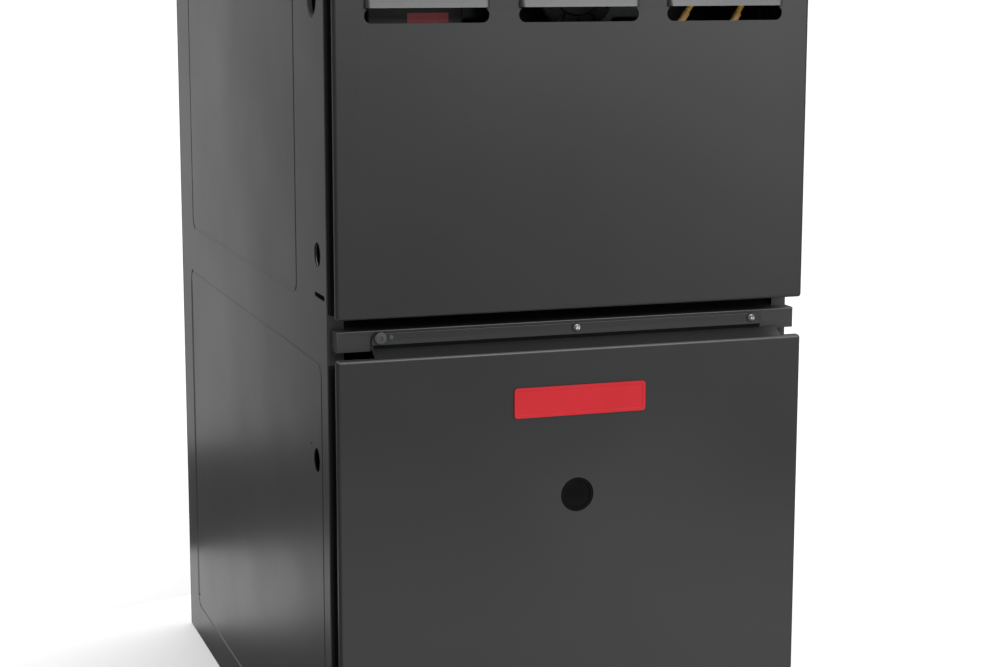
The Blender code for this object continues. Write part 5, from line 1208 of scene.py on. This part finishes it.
seat(laminations(), "cabinet", "transformer", "aluminised_steel", "black_paint")
coil = rounded("coil", *core["coil"], "y", 0.0050, 5)
extra(smoothed(soften(coil, 0.0020, 3, 60)), "aluminised_steel", "peach_sleeve")
print("board and transformer done")

# Heat exchanger: four bent tubes, open at both ends
tubeRun = {"start": -0.2012, "bends": (0.272933, -0.112633), "low": 0.5982, "rise": 0.059133,
           "passes": 4, "radius": 0.0190, "bore": 0.0175, "mouth": (-0.2112, -0.1512),
           "steps": 14, "burner": -0.2995}
rows = (-0.099, -0.033, 0.033, 0.099)


def bentTube(name, x):
    look = tubeRun
    half = look["rise"] / 2
    points = [(x, look["start"], look["low"])]
    for i in range(look["passes"] - 1):
        y, z = look["bends"][i % 2], look["low"] + (i + 0.5) * look["rise"]
        for j in range(look["steps"] + 1):
            a = math.pi * (j / look["steps"] - 0.5)
            points.append((x, y + (1 - i % 2 * 2) * half * math.cos(a), z + half * math.sin(a)))
    points.append((x, look["start"], look["low"] + (look["passes"] - 1) * look["rise"]))
    tube = cord(name, points, look["radius"], 0)
    for point in (points[0], points[-1]):
        drill(tube, x, point[2], look["mouth"], look["bore"])
    return smoothed(tube, 40)


burnerShape = mm((13.1, 0.2), (13.7, 0), (14.3, 0.3), (14.5, 1), (14.3, 2.2), (13.8, 3),
    (13.8, 9.2), (13, 10.2), (13, 18), (12.1, 21.5), (10.6, 26.5), (9.5, 31), (9, 35), (9, 70),
    (9.4, 73.5), (10.8, 77.5), (13, 81), (14.6, 82.8), (15, 84), (15, 96), (14.5, 96.6),
    (13.5, 96.6), (13.5, 83.8), (11.8, 81.2), (9.6, 77.8), (8.1, 73.5), (7.5, 70), (7.5, 35),
    (8.2, 30.2), (9.5, 25.5), (11.3, 20.3), (12, 12), (12.7, 2))
for i, x in enumerate(rows):
    seat(bentTube(f"bent_tube_{i + 1}", x), "cabinet", f"heat_tube_{i + 1}", "aluminised_steel")
    foot = (x, tubeRun["burner"], tubeRun["low"])
    burner = spun(f"venturi_burner_{i + 1}", burnerShape, foot, (0, 1, 0), shut=True)
    seat(burner, "cabinet", f"burner_{i + 1}", "aluminised_steel")
print("tubes and burners done")

# Every node still seen: a merged copy with rounded edges and soft shading
roundings = {"gas_valve": 0.0020, "junction_box": 0.0006, "capacitor": 0.0010,
             "pressure_switch": 0.0009, "collector_box": 0.0006}
# the vestibule panel, collector box and inducer housing get the darker zinc copy: painted shade for
# the dark inside of the casing
painted_shade = ("vestibule_panel", "collector_box", "inducer_housing")


def refined(name, width):
    focus(nodes[name])
    bpy.ops.object.duplicate()
    piece = adopt(name + "_finished")
    for key in list(piece.keys()):
        del piece[key]
    edit(piece, "VERT")
    selectAll()
    bpy.ops.mesh.remove_doubles(threshold=0.000005)
    selectAll()
    bpy.ops.mesh.dissolve_limited(angle_limit=math.radians(0.5))
    done()
    return smoothed(soften(piece, width, 2, 50), 32)


for body, members in frame["record"]["behaviour"]["bodies"].items():
    for name in members:
        if not nodes[name].hide_render:
            piece = refined(name, roundings.get(name, 0.0003))
            seat(piece, body, name, slots[name], "zinc_in_painted_shade" if name in painted_shade else None)
print("remaining parts done")

# Floor
clearSelection()
bpy.ops.mesh.primitive_plane_add(size=400, location=(0, 0, -0.0005))
floor = settle(adopt("floor"))
ground = Finish("pale floor")
ground.set("Base Color", studio["floor"])
ground.set("Roughness", 0.7)
floor.data.materials.append(ground.material)
floor.visible_glossy = False  # sheen comes from the soft lights alone

print("scene done")
